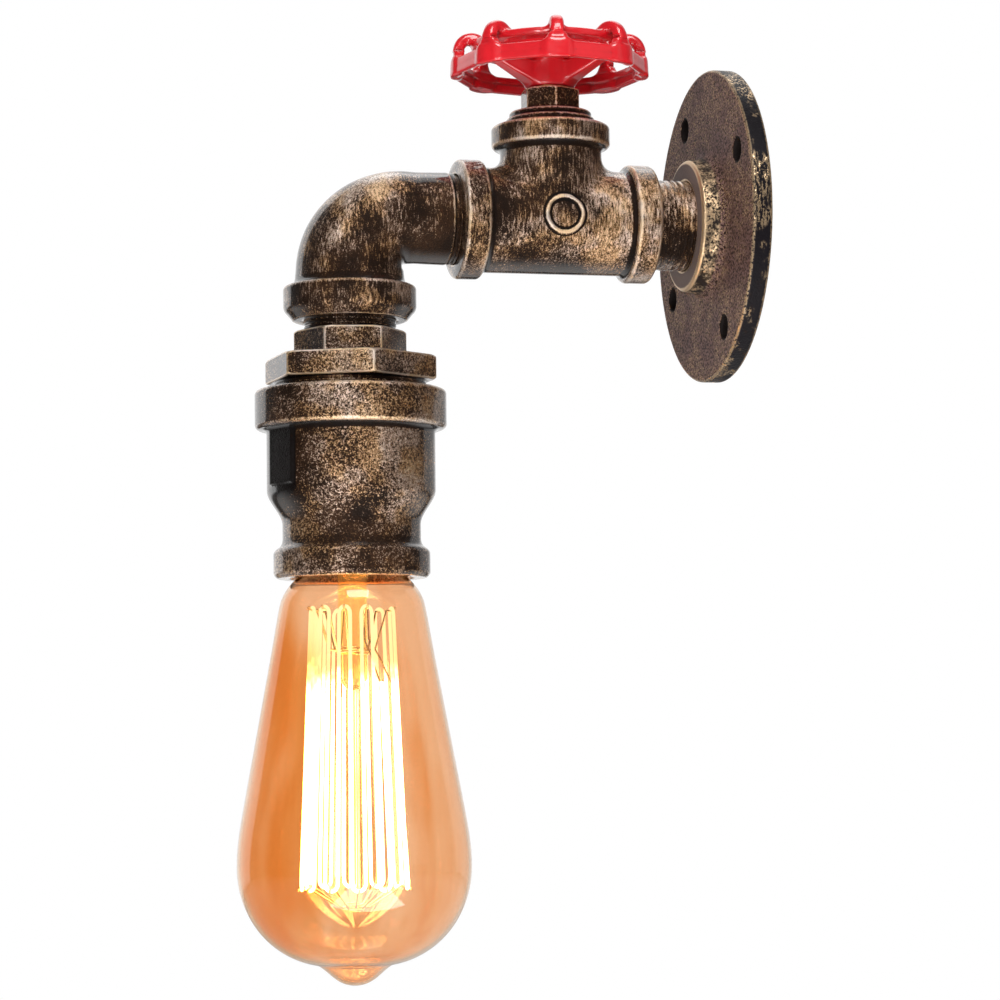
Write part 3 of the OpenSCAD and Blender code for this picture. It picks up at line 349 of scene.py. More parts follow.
def cap_shape(x, y, z):
    low, high = reach("bulb_cap", Z)
    crest_r, wall_t, pitch, depth, hole_r = 13.05, 0.45, 3.63, 0.55, 6.8
    v = y - lamp_y
    r = np.hypot(x, v)
    rolled = 0.5 - 0.5 * np.cos(2 * math.pi * (z - low) / pitch - np.arctan2(v, x))
    starts = smooth_step(z, glass_top + 0.6, glass_top + 2.4)
    ends = 1 - smooth_step(z, high - 3, high - 1)
    side = r - crest_r + depth * (rolled * starts * ends)
    wall = np.maximum(side, -wall_t - side)
    lid = np.maximum(side, np.maximum(high - wall_t - z, hole_r - r))
    return within(np.minimum(wall, lid), slab(z, low, high), 0.3)


def nut_shape(x, y, z):
    low, high = reach("wheel_nut", Z)
    hex_flat_r = 5.0
    v = y - valve_y
    body = hex_head(x, v, z, 0, hex_flat_r, low, high, 0.7, 0.4)
    return without(body, np.hypot(x, v) - spindle_hole_r)


# Meshes


def either_side(field, points, small):
    """Values of a field a little above and below points, along each axis in turn."""
    for shift in np.eye(3) * small:
        yield field(*(points + shift).T), field(*(points - shift).T)


def slope_of(field, points, small=0.04):
    """Slope of a field at points, by differences."""
    steps = [above - below for above, below in either_side(field, points, small)]
    return np.stack(steps, 1) / (2 * small)


def edge_of(field, points, small=0.5):
    """How sharply a field's surface is rounded: above zero on edges, below zero in hollows."""
    total = -6 * field(*points.T)
    for above, below in either_side(field, points, small):
        total += above + below
    return total / small ** 2


def skin(field, low, high, step):
    """Points, faces and edge values of the closed surface of a field, on a lattice of cells."""
    margin = 1.5
    axes = [np.arange(a - margin, b + margin + step, step) for a, b in zip(low, high)]
    values = np.empty([len(a) for a in axes], np.float32)
    across, up = np.meshgrid(axes[1], axes[2], indexing="ij")
    for i, x in enumerate(axes[0]):
        values[i] = field(np.full_like(across, x), across, up)
    inside = values < 0
    sizes = np.array(values.shape)
    filled = np.zeros(sizes - 1, np.int8)
    for corner in np.ndindex(2, 2, 2):
        filled += inside[tuple(slice(c, c + n - 1) for c, n in zip(corner, sizes))]
    mixed = (filled > 0) & (filled < 8)
    number = np.full(mixed.shape, -1)
    cells = np.argwhere(mixed)
    number[mixed] = np.arange(len(cells))
    total = np.zeros((len(cells), 3))
    hits = np.zeros((len(cells), 1))
    faces = []
    for axis in range(3):
        b, c = (axis + 1) % 3, (axis + 2) % 3
        for db, dc in np.ndindex(2, 2):
            start = cells.copy()
            start[:, b] += db
            start[:, c] += dc
            end = start.copy()
            end[:, axis] += 1
            first, last = values[tuple(start.T)], values[tuple(end.T)]
            crossed = (first < 0) != (last < 0)
            place = start[crossed].astype(float)
            place[:, axis] += first[crossed] / (first[crossed] - last[crossed])
            total[crossed] += place
            hits[crossed] += 1
        lower = tuple(slice(0, -1) if k == axis else slice(None) for k in range(3))
        upper = tuple(slice(1, None) if k == axis else slice(None) for k in range(3))
        edges = np.argwhere(inside[lower] != inside[upper])
        corners = []
        for db, dc in ((-1, -1), (0, -1), (0, 0), (-1, 0)):
            cell = edges.copy()
            cell[:, b] += db
            cell[:, c] += dc
            corners.append(number[tuple(cell.T)])
        quads = np.stack(corners, 1)
        turned = ~inside[tuple(edges.T)]
        quads[turned] = quads[turned][:, ::-1]
        faces.append(quads)
    origin = np.array([a[0] for a in axes])
    points = total / hits * step + origin
    for _ in range(3):
        slope = slope_of(field, points)
        move = field(*points.T) / np.maximum((slope ** 2).sum(1), 0.2)
        points -= np.clip(move, -step / 2, step / 2)[:, None] * slope
    return points, np.concatenate(faces), edge_of(field, points)


def mesh_of(name, points, faces, edge=None):
    """Smooth mesh from points in millimetres."""
    mesh = bpy.data.meshes.new(name)
    mesh.from_pydata((np.asarray(points) * MM).tolist(), [], [tuple(f) for f in faces])
    mesh.polygons.foreach_set("use_smooth", np.ones(len(mesh.polygons), bool))
    if edge is not None:
        mesh.attributes.new("edge", "FLOAT", "POINT").data.foreach_set("value", edge.astype(np.float32))
    mesh.update()
    return mesh


def add_object(name, data):
    made = bpy.data.objects.new(name, data)
    bpy.context.scene.collection.objects.link(made)
    return made


def place_piece(name, mesh, material, body, nodes=()):
    """Object of a finished mesh, on its body and in place of its CAD nodes."""
    piece = add_object(name, mesh)
    mesh.materials.clear()
    mesh.materials.append(material)
    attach(piece, body)
    if nodes:
        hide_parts(*nodes)


def cast_piece(node, field, step, material, body, painted_shade_at=None):
    """Piece from a field, in the box of the CAD node that it stands for. Marked places are painted black
    as painted shade and take no gold.
    """
    # Edge value that marks a place for painted shade: black tone and no gold
    painted_shade_edge = -9
    low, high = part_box(node)
    points, faces, edge = skin(field, np.array(low) / MM, np.array(high) / MM, step)
    if painted_shade_at:
        edge[painted_shade_at(*points.T)] = painted_shade_edge
    place_piece(node + "_cast", mesh_of(node, points, faces, edge), material, body, [node])


def lathe(profile, centre, segments):
    """Closed surface from an outline of radius and height that starts and ends on the axis."""
    points, faces, rings = [], [], []
    middle_x, middle_y = centre
    for radius, height in profile:
        if radius < 1e-6:
            rings.append([len(points)])
            points.append((middle_x, middle_y, height))
            continue
        rings.append(list(range(len(points), len(points) + segments)))
        for k in range(segments):
            angle = 2 * math.pi * k / segments
            x, y = middle_x + radius * math.cos(angle), middle_y + radius * math.sin(angle)
            points.append((x, y, height))
    for a, b in zip(rings, rings[1:]):
        for k in range(segments):
            n = (k + 1) % segments
            if len(a) == 1:
                faces.append((a[0], b[n], b[k]))
            elif len(b) == 1:
                faces.append((a[k], a[n], b[0]))
            else:
                faces.append((a[k], a[n], b[n], b[k]))
    return points, faces


def bezier(a, b, c, d, count):
    """Points on a cubic curve, without its last point."""
    t = np.arange(count)[:, None] / count
    s = 1 - t
    a, b, c, d = (np.array(point) for point in (a, b, c, d))
    return s ** 3 * a + 3 * s * s * t * b + 3 * s * t * t * c + t ** 3 * d


# Node graphs


class Link:
    """Output of a node. Sums and products of links add Math nodes to their graph."""

    def __init__(self, graph, socket):
        self.graph = graph
        self.socket = socket

    def math(self, operation, *values):
        return self.graph.node("ShaderNodeMath", dict(enumerate(values)), operation=operation)

    def __add__(self, other):
        return self.math("ADD", self, other)

    def __sub__(self, other):
        return self.math("SUBTRACT", self, other)

    def __rsub__(self, other):
        return self.math("SUBTRACT", other, self)

    def __mul__(self, other):
        return self.math("MULTIPLY", self, other)

    __radd__ = __add__
    __rmul__ = __mul__

    def most(self, other):
        return self.math("MAXIMUM", self, other)

    def between(self, low, high):
        """0 below the low value and 1 above the high one."""
        values = {"Value": self, "From Min": low, "From Max": high}
        return self.graph.node("ShaderNodeMapRange", values, interpolation_type="SMOOTHSTEP")


class Graph:
    """Node tree that is filled from Python."""

    def __init__(self, tree):
        self.tree = tree
        tree.nodes.clear()

    def node(self, kind, values, output=None, **settings):
        """New node with values or links on its inputs, and the output that is named or comes first."""
        made = self.tree.nodes.new(kind)
        for key, value in settings.items():
            setattr(made, key, value)
        for key, value in values.items():
            named = [s for s in made.inputs if s.enabled and s.name == key]
            socket = named[0] if named else made.inputs[key]
            for item in value if isinstance(value, list) else [value]:
                if isinstance(item, Link):
                    self.tree.links.new(item.socket, socket)
                else:
                    socket.default_value = item
        shown = [s for s in made.outputs if s.enabled and output in (None, s.name)]
        return Link(self, shown[0]) if shown else made

    def mix(self, share, first, second):
        """Colour between two colours."""
        values = {"Factor": share, "A": first, "B": second}
        return self.node("ShaderNodeMix", values, data_type="RGBA")

    def noise(self, place, size, detail=3.0, rough=0.55, twist=0.0):
        """Cloudy pattern whose blots are about one size, in millimetres, across."""
        values = {
            "Vector": place, "Scale": 1 / (size * MM), "Detail": detail,
            "Roughness": rough, "Distortion": twist,
        }
        return self.node("ShaderNodeTexNoise", values, "Fac")

    def stretched(self, place, turn, scale):
        """Place turned by angles in degrees and scaled along its axes."""
        radians = tuple(math.radians(a) for a in turn)
        return self.node("ShaderNodeMapping", {"Vector": place, "Rotation": radians, "Scale": scale})

    def bump(self, height, strength, depth):
        values = {"Height": height, "Strength": strength, "Distance": depth * MM}
        return self.node("ShaderNodeBump", values)

    def measure(self, operation, *values):
        """Number that vectors give, such as their distance."""
        return self.node("ShaderNodeVectorMath", dict(enumerate(values)), "Value", operation=operation)

    def axis(self, place, letter):
        return self.node("ShaderNodeSeparateXYZ", {"Vector": place}, letter)

    def edge(self):
        """How sharply the surface is rounded, as its mesh has it."""
        return self.node("ShaderNodeAttribute", {}, "Fac", attribute_name="edge")

    def rays(self):
        """What the camera sees, also through glass, and what is mirrored."""
        direct = self.node("ShaderNodeLightPath", {}, "Is Camera Ray")
        outputs = direct.socket.node.outputs
        seen = direct.most(Link(self, outputs["Is Transmission Ray"]))
        return seen, Link(self, outputs["Is Glossy Ray"])


def colour(red, green, blue):
    return (red, green, blue, 1.0)


def new_surface(name):
    material = bpy.data.materials.new(name)
    material.use_nodes = True
    graph = Graph(material.node_tree)
    place = graph.node("ShaderNodeTexCoord", {}, "Object")
    return material, graph, place


def close_surface(graph, values):
    shader = graph.node("ShaderNodeBsdfPrincipled", values)
    graph.node("ShaderNodeOutputMaterial", {"Surface": shader})


def bronze(name, cover, fleck=0.7, turn=(0, 0, 0), stretch=(1, 1, 1), patch=0.3, lines=0.25, painted_light_spots=()):
    """Black-brown paint with gold brushed over its high places and edges, glossy where it turns away.

    Each painted-light spot is a place in millimetres, the size of the blot round it and how much gold it
    gains, as painted light, or lacks, as painted shade.
    """
    hollow_and_shade_black = colour(0.004, 0.002, 0.0015)
    dark = colour(0.01, 0.0042, 0.0018)
    brown = colour(0.055, 0.024, 0.01)
    gold, cool_gold = colour(0.5, 0.28, 0.135), colour(0.5, 0.335, 0.24)
    pale, cool_pale = colour(1.0, 0.73, 0.46), colour(1.0, 0.83, 0.7)
    material, graph, place = new_surface(name)
    brushed = graph.stretched(place, turn, stretch)
    grain = graph.noise(brushed, fleck, 3.0, 0.6, 0.6)
    pits = graph.noise(place, fleck * 0.5, 2.0, 0.6)
    cloud = graph.noise(place, 11, 3.0, 0.6)
    wide = graph.noise(place, 30, 2.0, 0.5)
    edge = graph.edge()
    worn = edge.between(0.3, 1.4)
    hollow = (0.0 - edge).between(0.1, 0.8)
    # Deep hollows and places marked for painted shade take no gold
    unbrushed_and_painted_shade = (0.0 - edge).between(3.0, 6.0)
    height = grain * 0.6 + pits * 0.4
    level = height + (cloud + wide - 1.0) * patch + worn * lines - hollow * 0.35 - unbrushed_and_painted_shade + cover
    # Blots of painted light and shade: more gold where light falls, less on shaded sides
    for middle, size, gain in painted_light_spots:
        away = graph.measure("DISTANCE", place, tuple(MM * c for c in middle))
        level = level + (1 - away.between(size * 0.4 * MM, size * MM)) * gain
    flecks = level.between(0.46, 0.6)
    bright = level.between(0.54, 0.7)
    tone = graph.mix((pits * 0.5 + cloud * 0.5).between(0.4, 0.66), dark, brown)
    # Hollows go to black, and so do places marked for painted shade
    tone = graph.mix(hollow, tone, hollow_and_shade_black)
    cool = graph.noise(place, 8, 2.0, 0.5).between(0.4, 0.6)
    metal = graph.mix(bright, graph.mix(cool, gold, cool_gold), graph.mix(cool, pale, cool_pale))
    facing = graph.node("ShaderNodeLayerWeight", {"Blend": 0.5}, "Facing")
    close_surface(graph, {
        "Base Color": graph.mix(flecks, tone, metal),
        "Metallic": flecks * 0.95,
        "Roughness": 0.42 - flecks * 0.14,
        "Specular IOR Level": 0.1,
        "Normal": graph.bump(height, 0.9, 0.5),
        "Coat Weight": facing.between(0.25, 0.55),
        "Coat Roughness": 0.1,
        "Coat IOR": 1.9,
    })
    return material


def flange_paint():
    """Brown cast face with fine specks, a brushed hub, a scraped rim and painted shade in the screw holes.
    """
    material, graph, place = new_surface("flange_bronze")
    flattened = graph.stretched(place, (0, 0, 0), (1, 0, 1))
    r = graph.measure("LENGTH", flattened)
    out = 0.0 - graph.axis(place, "Y")
    rim = r.between((flange_r - 0.7) * MM, (flange_r - 0.3) * MM)
    hub_face = out.between((hub_out - 0.5) * MM, (hub_out - 0.2) * MM)
    hub_side = out.between((flange_t + 1) * MM, (flange_t + 2) * MM) * (1.0 - hub_face)
    edge = graph.edge()
    worn = edge.between(0.5, 1.8)
    specks = graph.noise(place, 0.7, 2.0, 0.6)
    grains = graph.noise(place, 0.45, 2.0, 0.6)
    cloud = graph.noise(place, 14, 3.0, 0.6)
    strokes = graph.noise(place, 3, 3.0, 0.6)
    scratches = graph.noise(graph.stretched(place, (35, 0, 0), (1, 1, 0.2)), 0.7, 3.0, 0.65)
    scraped = cloud.between(0.48, 0.58) * (scratches * 0.7 + specks * 0.3).between(0.48, 0.6)
    # Painted shade: the screw hole walls go nearly black
    screw_hole_shade = (0.0 - edge).between(3.0, 6.0)
    face = graph.mix(specks.between(0.38, 0.62), colour(0.012, 0.006, 0.005), colour(0.2, 0.112, 0.098))
    glint = grains.between(0.53, 0.64) * cloud.between(0.38, 0.56)
    face = graph.mix(glint * 0.8, face, colour(0.55, 0.36, 0.2))
    face = graph.mix(screw_hole_shade, face, colour(0.01, 0.006, 0.005))
    paint = graph.mix(rim, face, colour(0.008, 0.006, 0.008))
    paint = graph.mix(hub_side, paint, colour(0.02, 0.014, 0.012))
    paint = graph.mix(hub_face, paint, colour(0.16, 0.115, 0.1))
    brushed = (strokes * 0.5 + cloud * 0.5).between(0.44, 0.58) * specks.between(0.36, 0.6)
    hub_edge = edge.between(0.3, 0.9) * out.between((hub_out - 1.3) * MM, (hub_out - 0.9) * MM)
    gold = (rim * scraped).most(hub_side * brushed)
    gold = gold.most(worn * specks.between(0.36, 0.56)).most(hub_edge * 0.9)
    close_surface(graph, {
        "Base Color": graph.mix(gold, paint, colour(0.75, 0.53, 0.32)),
        "Metallic": gold * 0.9,
        "Roughness": 0.6 - gold * 0.3 - rim * 0.2,
        "Specular IOR Level": 0.15,
        "Normal": graph.bump(specks * 0.6 + grains * 0.4, 0.8, 0.35),
    })
    return material


def red_enamel():
    """Glossy red enamel, darker in hollows."""
    material, graph, place = new_surface("red_enamel")
    edge = graph.edge()
    hollow = (0.0 - edge).between(0.1, 1.2)
    cloud = graph.noise(place, 9, 3.0, 0.6)
    peel = graph.noise(place, 1.6, 2.0, 0.5)
    full = graph.mix(cloud.between(0.3, 0.7), colour(0.82, 0.01, 0.02), colour(0.7, 0.007, 0.015))
    close_surface(graph, {
        "Base Color": graph.mix(hollow * 0.55, full, colour(0.3, 0.004, 0.008)),
        "Roughness": 0.28 + peel * 0.1,
        "Normal": graph.bump(peel, 0.12, 0.12),
        "Coat Weight": 0.9,
        "Coat Roughness": 0.08,
        "Coat IOR": 1.6,
    })
    return material


def plain_metal(name, light, shade, rough):
    """Turned or rolled metal with fine marks."""
    material, graph, place = new_surface(name)
    marks = graph.noise(graph.stretched(place, (0, 0, 0), (1, 1, 8)), 1.1, 4.0, 0.65)
    cloud = graph.noise(place, 5, 3.0, 0.6)
    close_surface(graph, {
        "Base Color": graph.mix(cloud.between(0.3, 0.75), colour(*light), colour(*shade)),
        "Metallic": 1.0,
        "Roughness": rough + marks * 0.2,
        "Normal": graph.bump(marks, 0.2, 0.05),
    })
    return material


def moulding(name, light, shade, rough, grain):
    """Moulded, fired or extruded skin with a fine grain."""
    material, graph, place = new_surface(name)
    fine = graph.noise(place, grain, 3.0, 0.6)
    cloud = graph.noise(place, 6, 3.0, 0.55)
    close_surface(graph, {
        "Base Color": graph.mix(cloud.between(0.3, 0.7), colour(*light), colour(*shade)),
        "Roughness": rough + fine * 0.15,
        "Normal": graph.bump(fine, 0.15, 0.06),
    })
    return material


def amber_glass():
    """Tinted glass with painted shade: a deeper tint on the far side from the wall, most in a band there,
    and paler at the throat.
    """
    material, graph, place = new_surface("amber_glass")
    drawn = graph.stretched(place, (0, 0, 0), (1, 1, 0.1))
    streaks = graph.noise(drawn, 9, 3.0, 0.55)
    cloud = graph.noise(place, 30, 2.0, 0.5)
    aside = lamp_y * MM - graph.axis(place, "Y")
    from_top = bell_low * MM - graph.axis(place, "Z")
    # Painted shade: the tint deepens towards the far side from the wall, most in a band there
    band = aside.between(11 * MM, 19 * MM) - aside.between(24 * MM, 31 * MM) * 1.2
    throat = 1 - from_top.between(6 * MM, 26 * MM)
    side_shade_and_pale_throat = aside.between(-24 * MM, 24 * MM) * 0.1 + band * 0.2 - throat * 0.16
    dense = (streaks * 0.7 + cloud * 0.3 + side_shade_and_pale_throat).between(0.4, 0.86)
    tint = graph.mix(dense, colour(0.95, 0.68, 0.48), colour(0.86, 0.43, 0.15))
    close_surface(graph, {
        "Base Color": tint,
        "Roughness": 0.0,
        "IOR": 1.45,
        "Transmission Weight": 1.0,
    })
    return material


def clear_glass():
    """Clear glass with a painted glow: emission towards its foot, where the filament lights it."""
    material, graph, place = new_surface("clear_glass")
    cloud = graph.noise(place, 6, 2.0, 0.5)
    from_top = bell_low * MM - graph.axis(place, "Z")
    # Painted glow, strongest towards the foot
    painted_glow = from_top.between(24 * MM, 40 * MM)
    close_surface(graph, {
        "Base Color": graph.mix(cloud, colour(1.0, 0.88, 0.5), colour(1.0, 0.8, 0.36)),
        "Roughness": 0.05,
        "IOR": 1.45,
        "Transmission Weight": 1.0,
        "Emission Color": graph.mix(painted_glow, colour(0.1, 0.06, 0.02), colour(1.0, 0.8, 0.3)),
        "Emission Strength": 0.9,
    })
    return material


def glowing_wire():
    """Lit filament: white hot along its strands, cooler towards the top."""
    material, graph, place = new_surface("glowing_wire")
    from_top = bell_low * MM - graph.axis(place, "Z")
    flicker = graph.noise(place, 4, 2.0, 0.5)
    heat = (from_top + (flicker - 0.5) * (14 * MM)).between(23 * MM, 40 * MM)
    close_surface(graph, {
        "Base Color": colour(0.1, 0.06, 0.02),
        "Emission Color": graph.mix(heat, colour(0.05, 0.05, 0.032), colour(1.0, 0.8, 0.42)),
        "Emission Strength": 30.0,
    })
    return material


# Trees for what repeats or follows a path


def new_tree(name, inputs):
    """Geometry tree with named inputs, and links to them."""
    tree = bpy.data.node_groups.new(name, "GeometryNodeTree")
    for label, kind in inputs.items():
        tree.interface.new_socket(label, in_out="INPUT", socket_type="NodeSocket" + kind)
    tree.interface.new_socket("Mesh", in_out="OUTPUT", socket_type="NodeSocketGeometry")
    graph = Graph(tree)
    entry = tree.nodes.new("NodeGroupInput")
    return tree, graph, {label: Link(graph, entry.outputs[label]) for label in inputs}


def close_tree(graph, shape, material, smooth=True):
    if smooth:
        shape = graph.node("GeometryNodeSetShadeSmooth", {0: shape})
    real = graph.node("GeometryNodeRealizeInstances", {"Geometry": shape})
    dressed = graph.node("GeometryNodeSetMaterial", {"Geometry": real, "Material": material})
    graph.node("NodeGroupOutput", {"Mesh": dressed})


def thread_tree():
    """Helical ridge round an axis."""
    inputs = {
        "Radius": "Float", "Pitch": "Float", "Turns": "Float", "Ridge": "Float",
        "Foot": "Vector", "Turn": "Vector", "Finish": "Material",
    }
    tree, graph, size = new_tree("screw_thread", inputs)
    values = {
        "Resolution": 72, "Rotations": size["Turns"], "Height": size["Pitch"] * size["Turns"],
        "Start Radius": size["Radius"], "End Radius": size["Radius"],
    }
    spiral = graph.node("GeometryNodeCurveSpiral", values)
    values = {"Resolution": 8, "Radius": size["Ridge"]}
    crest = graph.node("GeometryNodeCurvePrimitiveCircle", values, "Curve")
    values = {"Curve": spiral, "Profile Curve": crest, "Fill Caps": True}
    ridge = graph.node("GeometryNodeCurveToMesh", values)
    values = {"Geometry": ridge, "Translation": size["Foot"], "Rotation": size["Turn"]}
    close_tree(graph, graph.node("GeometryNodeTransform", values), size["Finish"])
    return tree


def wire_tree():
    """Round wire along the edges of a mesh."""
    inputs = {"Route": "Geometry", "Radius": "Float", "Sides": "Int", "Finish": "Material"}
    tree, graph, size = new_tree("drawn_wire", inputs)
    route = graph.node("GeometryNodeMeshToCurve", {"Mesh": size["Route"]})
    values = {"Resolution": size["Sides"], "Radius": size["Radius"]}
    section = graph.node("GeometryNodeCurvePrimitiveCircle", values, "Curve")
    values = {"Curve": route, "Profile Curve": section, "Fill Caps": True}
    close_tree(graph, graph.node("GeometryNodeCurveToMesh", values), size["Finish"])
    return tree


def screw_tree():
    """Slotted screws on points, each with a round head and a shank."""
    inputs = {
        "Places": "Geometry", "Head Radius": "Float", "Head Height": "Float", "Shank Radius": "Float",
        "Shank Length": "Float", "Slot": "Vector", "Finish": "Material",
    }
    tree, graph, size = new_tree("slotted_screws", inputs)
    values = {"Vertices": 40, "Radius": size["Head Radius"], "Depth": size["Head Height"]}
    head = graph.node("GeometryNodeMeshCylinder", values, "Mesh")
    slot = graph.node("GeometryNodeMeshCube", {"Size": size["Slot"]}, "Mesh")
    up = graph.node("ShaderNodeCombineXYZ", {"Z": size["Head Height"] * 0.5})
    slot = graph.node("GeometryNodeTransform", {"Geometry": slot, "Translation": up})
    slotted = graph.node("GeometryNodeMeshBoolean", {0: head, 1: slot}, "Mesh", operation="DIFFERENCE")
    head = graph.node("GeometryNodeTransform", {"Geometry": slotted, "Translation": up})
    values = {"Vertices": 24, "Radius": size["Shank Radius"], "Depth": size["Shank Length"]}
    shank = graph.node("GeometryNodeMeshCylinder", values, "Mesh")
    down = graph.node("ShaderNodeCombineXYZ", {"Z": size["Shank Length"] * -0.5})
    shank = graph.node("GeometryNodeTransform", {"Geometry": shank, "Translation": down})
    screw = graph.node("GeometryNodeJoinGeometry", {"Geometry": [shank, head]})
    placed = graph.node("GeometryNodeInstanceOnPoints", {"Points": size["Places"], "Instance": screw})
    close_tree(graph, placed, size["Finish"], smooth=False)
    return tree


def grow(tree, routes, values):
    """Plain mesh of what a tree makes from routes, which are lists of points in millimetres."""
    points, lines = [], []
    for route in routes:
        first = len(points)
        points += [tuple(MM * c for c in p) for p in route]
        lines += [(first + i, first + i + 1) for i in range(len(route) - 1)]
    start = bpy.data.meshes.new("start")
    start.from_pydata(points, lines, [])
    host = add_object("host", start)
    modifier = host.modifiers.new("grow", "NODES")
    modifier.node_group = tree
    for item in tree.interface.items_tree:
        if item.in_out == "INPUT" and item.name in values:
            modifier[item.identifier] = values[item.name]
    depsgraph = bpy.context.evaluated_depsgraph_get()
    mesh = bpy.data.meshes.new_from_object(host.evaluated_get(depsgraph), depsgraph=depsgraph)
    host.modifiers.remove(modifier)
    bpy.data.objects.remove(host)
    return mesh


# Camera at the photograph's place

camera_place = (0.84, -0.27687, -0.14923)
look = Vector((-0.96681, 0.24218, 0.08142)).normalized()
roll = math.radians(-0.7033)
camera_data = bpy.data.cameras.new("camera")
camera_data.lens = 112.53
camera_data.sensor_width = 36
camera = add_object("camera", camera_data)
level_right = look.cross(Vector((0, 0, 1))).normalized()
level_up = level_right.cross(look)
right = level_right * math.cos(roll) + level_up * math.sin(roll)
up = level_up * math.cos(roll) - level_right * math.sin(roll)
turned = Matrix((right, up, -look)).transposed().to_4x4()
camera.matrix_world = Matrix.Translation(camera_place) @ turned
camera_data.clip_start = 0.05
camera_data.clip_end = 20
scene = bpy.context.scene
scene.camera = camera
scene.view_settings.view_transform = "Standard"

# Finishes

bell_middle = (bell_low + bell_top) / 2
# Painted light and shade on the castings: each blot gains gold where light falls, and lacks it on a shaded
# side
bell_painted_light = [
    ((0, lamp_y - 25, bell_middle + 5), 24, -0.13),
    ((22, lamp_y + 8, bell_middle), 16, 0.03),
    ((25, lamp_y - 6, bell_top - 5), 13, 0.045),
    ((20, lamp_y - 4, bell_low + 2), 20, -0.05),
]
bell_bronze = bronze("bell_bronze", 0.0, painted_light_spots=bell_painted_light)
tee_painted_light = [
    ((0, valve_y, 21), 26, -0.07),
    ((14, tee_far + 12, 6), 14, -0.08),
    ((12, tee_near - 14, -8), 22, 0.07),
]
tee_bronze = bronze("tee_bronze", 0.0, 0.55, (12, 0, 0), (1, 1, 0.18), 0.45, painted_light_spots=tee_painted_light)
elbow_painted_light = [
    ((0, tee_far - 5, 0), 24, -0.12),
    ((14, lamp_y - 4, -8), 16, -0.05),
    ((14, lamp_y + 14, 2), 14, 0.05),
]
elbow_bronze = bronze("elbow_bronze", -0.01, 0.55, (-45, 0, 0), (1, 1, 0.22), 0.5, painted_light_spots=elbow_painted_light)
hex_painted_light = [((20, lamp_y - 5, bush_top - 3), 14, 0.035)]
hex_bronze = bronze("hex_bronze", 0.02, 0.65, lines=0.32, painted_light_spots=hex_painted_light)
dark_bronze = bronze("dark_bronze", -0.09, 0.6, lines=0.22)
nipple_bronze = bronze("nipple_bronze", 0.02, 0.6, lines=0.32)
thread_bronze = bronze("thread_bronze", -0.05, 0.7, (0, 0, 0), (0.3, 1, 0.3), 0.5)
flange_bronze = flange_paint()
red = red_enamel()
steel = plain_metal("zinc_steel", (0.62, 0.62, 0.62), (0.48, 0.48, 0.5), 0.25)
brass = plain_metal("brass", (0.72, 0.52, 0.22), (0.58, 0.4, 0.16), 0.22)
hook_metal = plain_metal("hook_wire", (0.85, 0.72, 0.5), (0.75, 0.6, 0.38), 0.3)
nickel = plain_metal("nickel_wire", (0.45, 0.33, 0.22), (0.3, 0.21, 0.14), 0.35)
packing = moulding("packing", (0.62, 0.58, 0.5), (0.5, 0.46, 0.38), 0.7, 0.5)
black_moulding = moulding("black_moulding", (0.02, 0.02, 0.022), (0.03, 0.03, 0.032), 0.4, 0.6)
white_moulding = moulding("white_moulding", (0.78, 0.76, 0.7), (0.7, 0.68, 0.62), 0.4, 0.6)
brown_insulation = moulding("brown_insulation", (0.16, 0.06, 0.03), (0.12, 0.045, 0.02), 0.45, 0.9)
black_insulation = moulding("black_insulation", (0.018, 0.018, 0.02), (0.03, 0.03, 0.03), 0.5, 0.9)
blue_insulation = moulding("blue_insulation", (0.03, 0.1, 0.36), (0.025, 0.08, 0.28), 0.45, 0.9)
ceramic = moulding("ceramic", (0.82, 0.79, 0.72), (0.74, 0.71, 0.64), 0.2, 1.6)
amber = amber_glass()
clear = clear_glass()
glow = glowing_wire()

# Castings


def on_rib(x, y, z):
    """Face of the bell's rib, painted black with no gold as painted shade."""
    spare = 0.6
    across, outward = rib_place(x, y)
    return (np.abs(across) < rib_half_w + spare) & (np.abs(outward + rib_face) < spare)


def in_screw_hole(x, y, z):
    """Walls of the flange's screw holes, painted dark as painted shade."""
    spare = 0.45
    return from_screw_hole(x, z) < screw_hole_r + spare


cast_piece("wall_flange", flange_shape, 0.5, flange_bronze, "wall_body", in_screw_hole)
cast_piece("tee_body", tee_shape, 0.42, tee_bronze, "wall_body")
cast_piece("valve_bonnet", bonnet_shape, 0.3, dark_bronze, "wall_body")
cast_piece("handwheel", wheel_shape, 0.34, red, "handwheel")
cast_piece("wheel_nut", nut_shape, 0.16, steel, "handwheel")
cast_piece("street_elbow", elbow_shape, 0.42, elbow_bronze, "lamp_head")
cast_piece("hex_nipple", nipple_shape, 0.34, nipple_bronze, "lamp_head")
cast_piece("hex_bush", bush_shape, 0.4, hex_bronze, "lamp_head")
cast_piece("reducer_bell", bell_shape, 0.47, bell_bronze, "lamp_head", on_rib)

# Screw threads that show between the fittings

threads = thread_tree()


def thread_piece(name, radius, pitch, turns, ridge, foot, turn, body):
    """Helical ridge that starts at its foot."""
    values = {
        "Radius": radius * MM, "Pitch": pitch * MM, "Turns": turns, "Ridge": ridge * MM,
        "Foot": [MM * c for c in foot], "Turn": turn, "Finish": thread_bronze,
    }
    place_piece(name, grow(threads, [], values), thread_bronze, body)


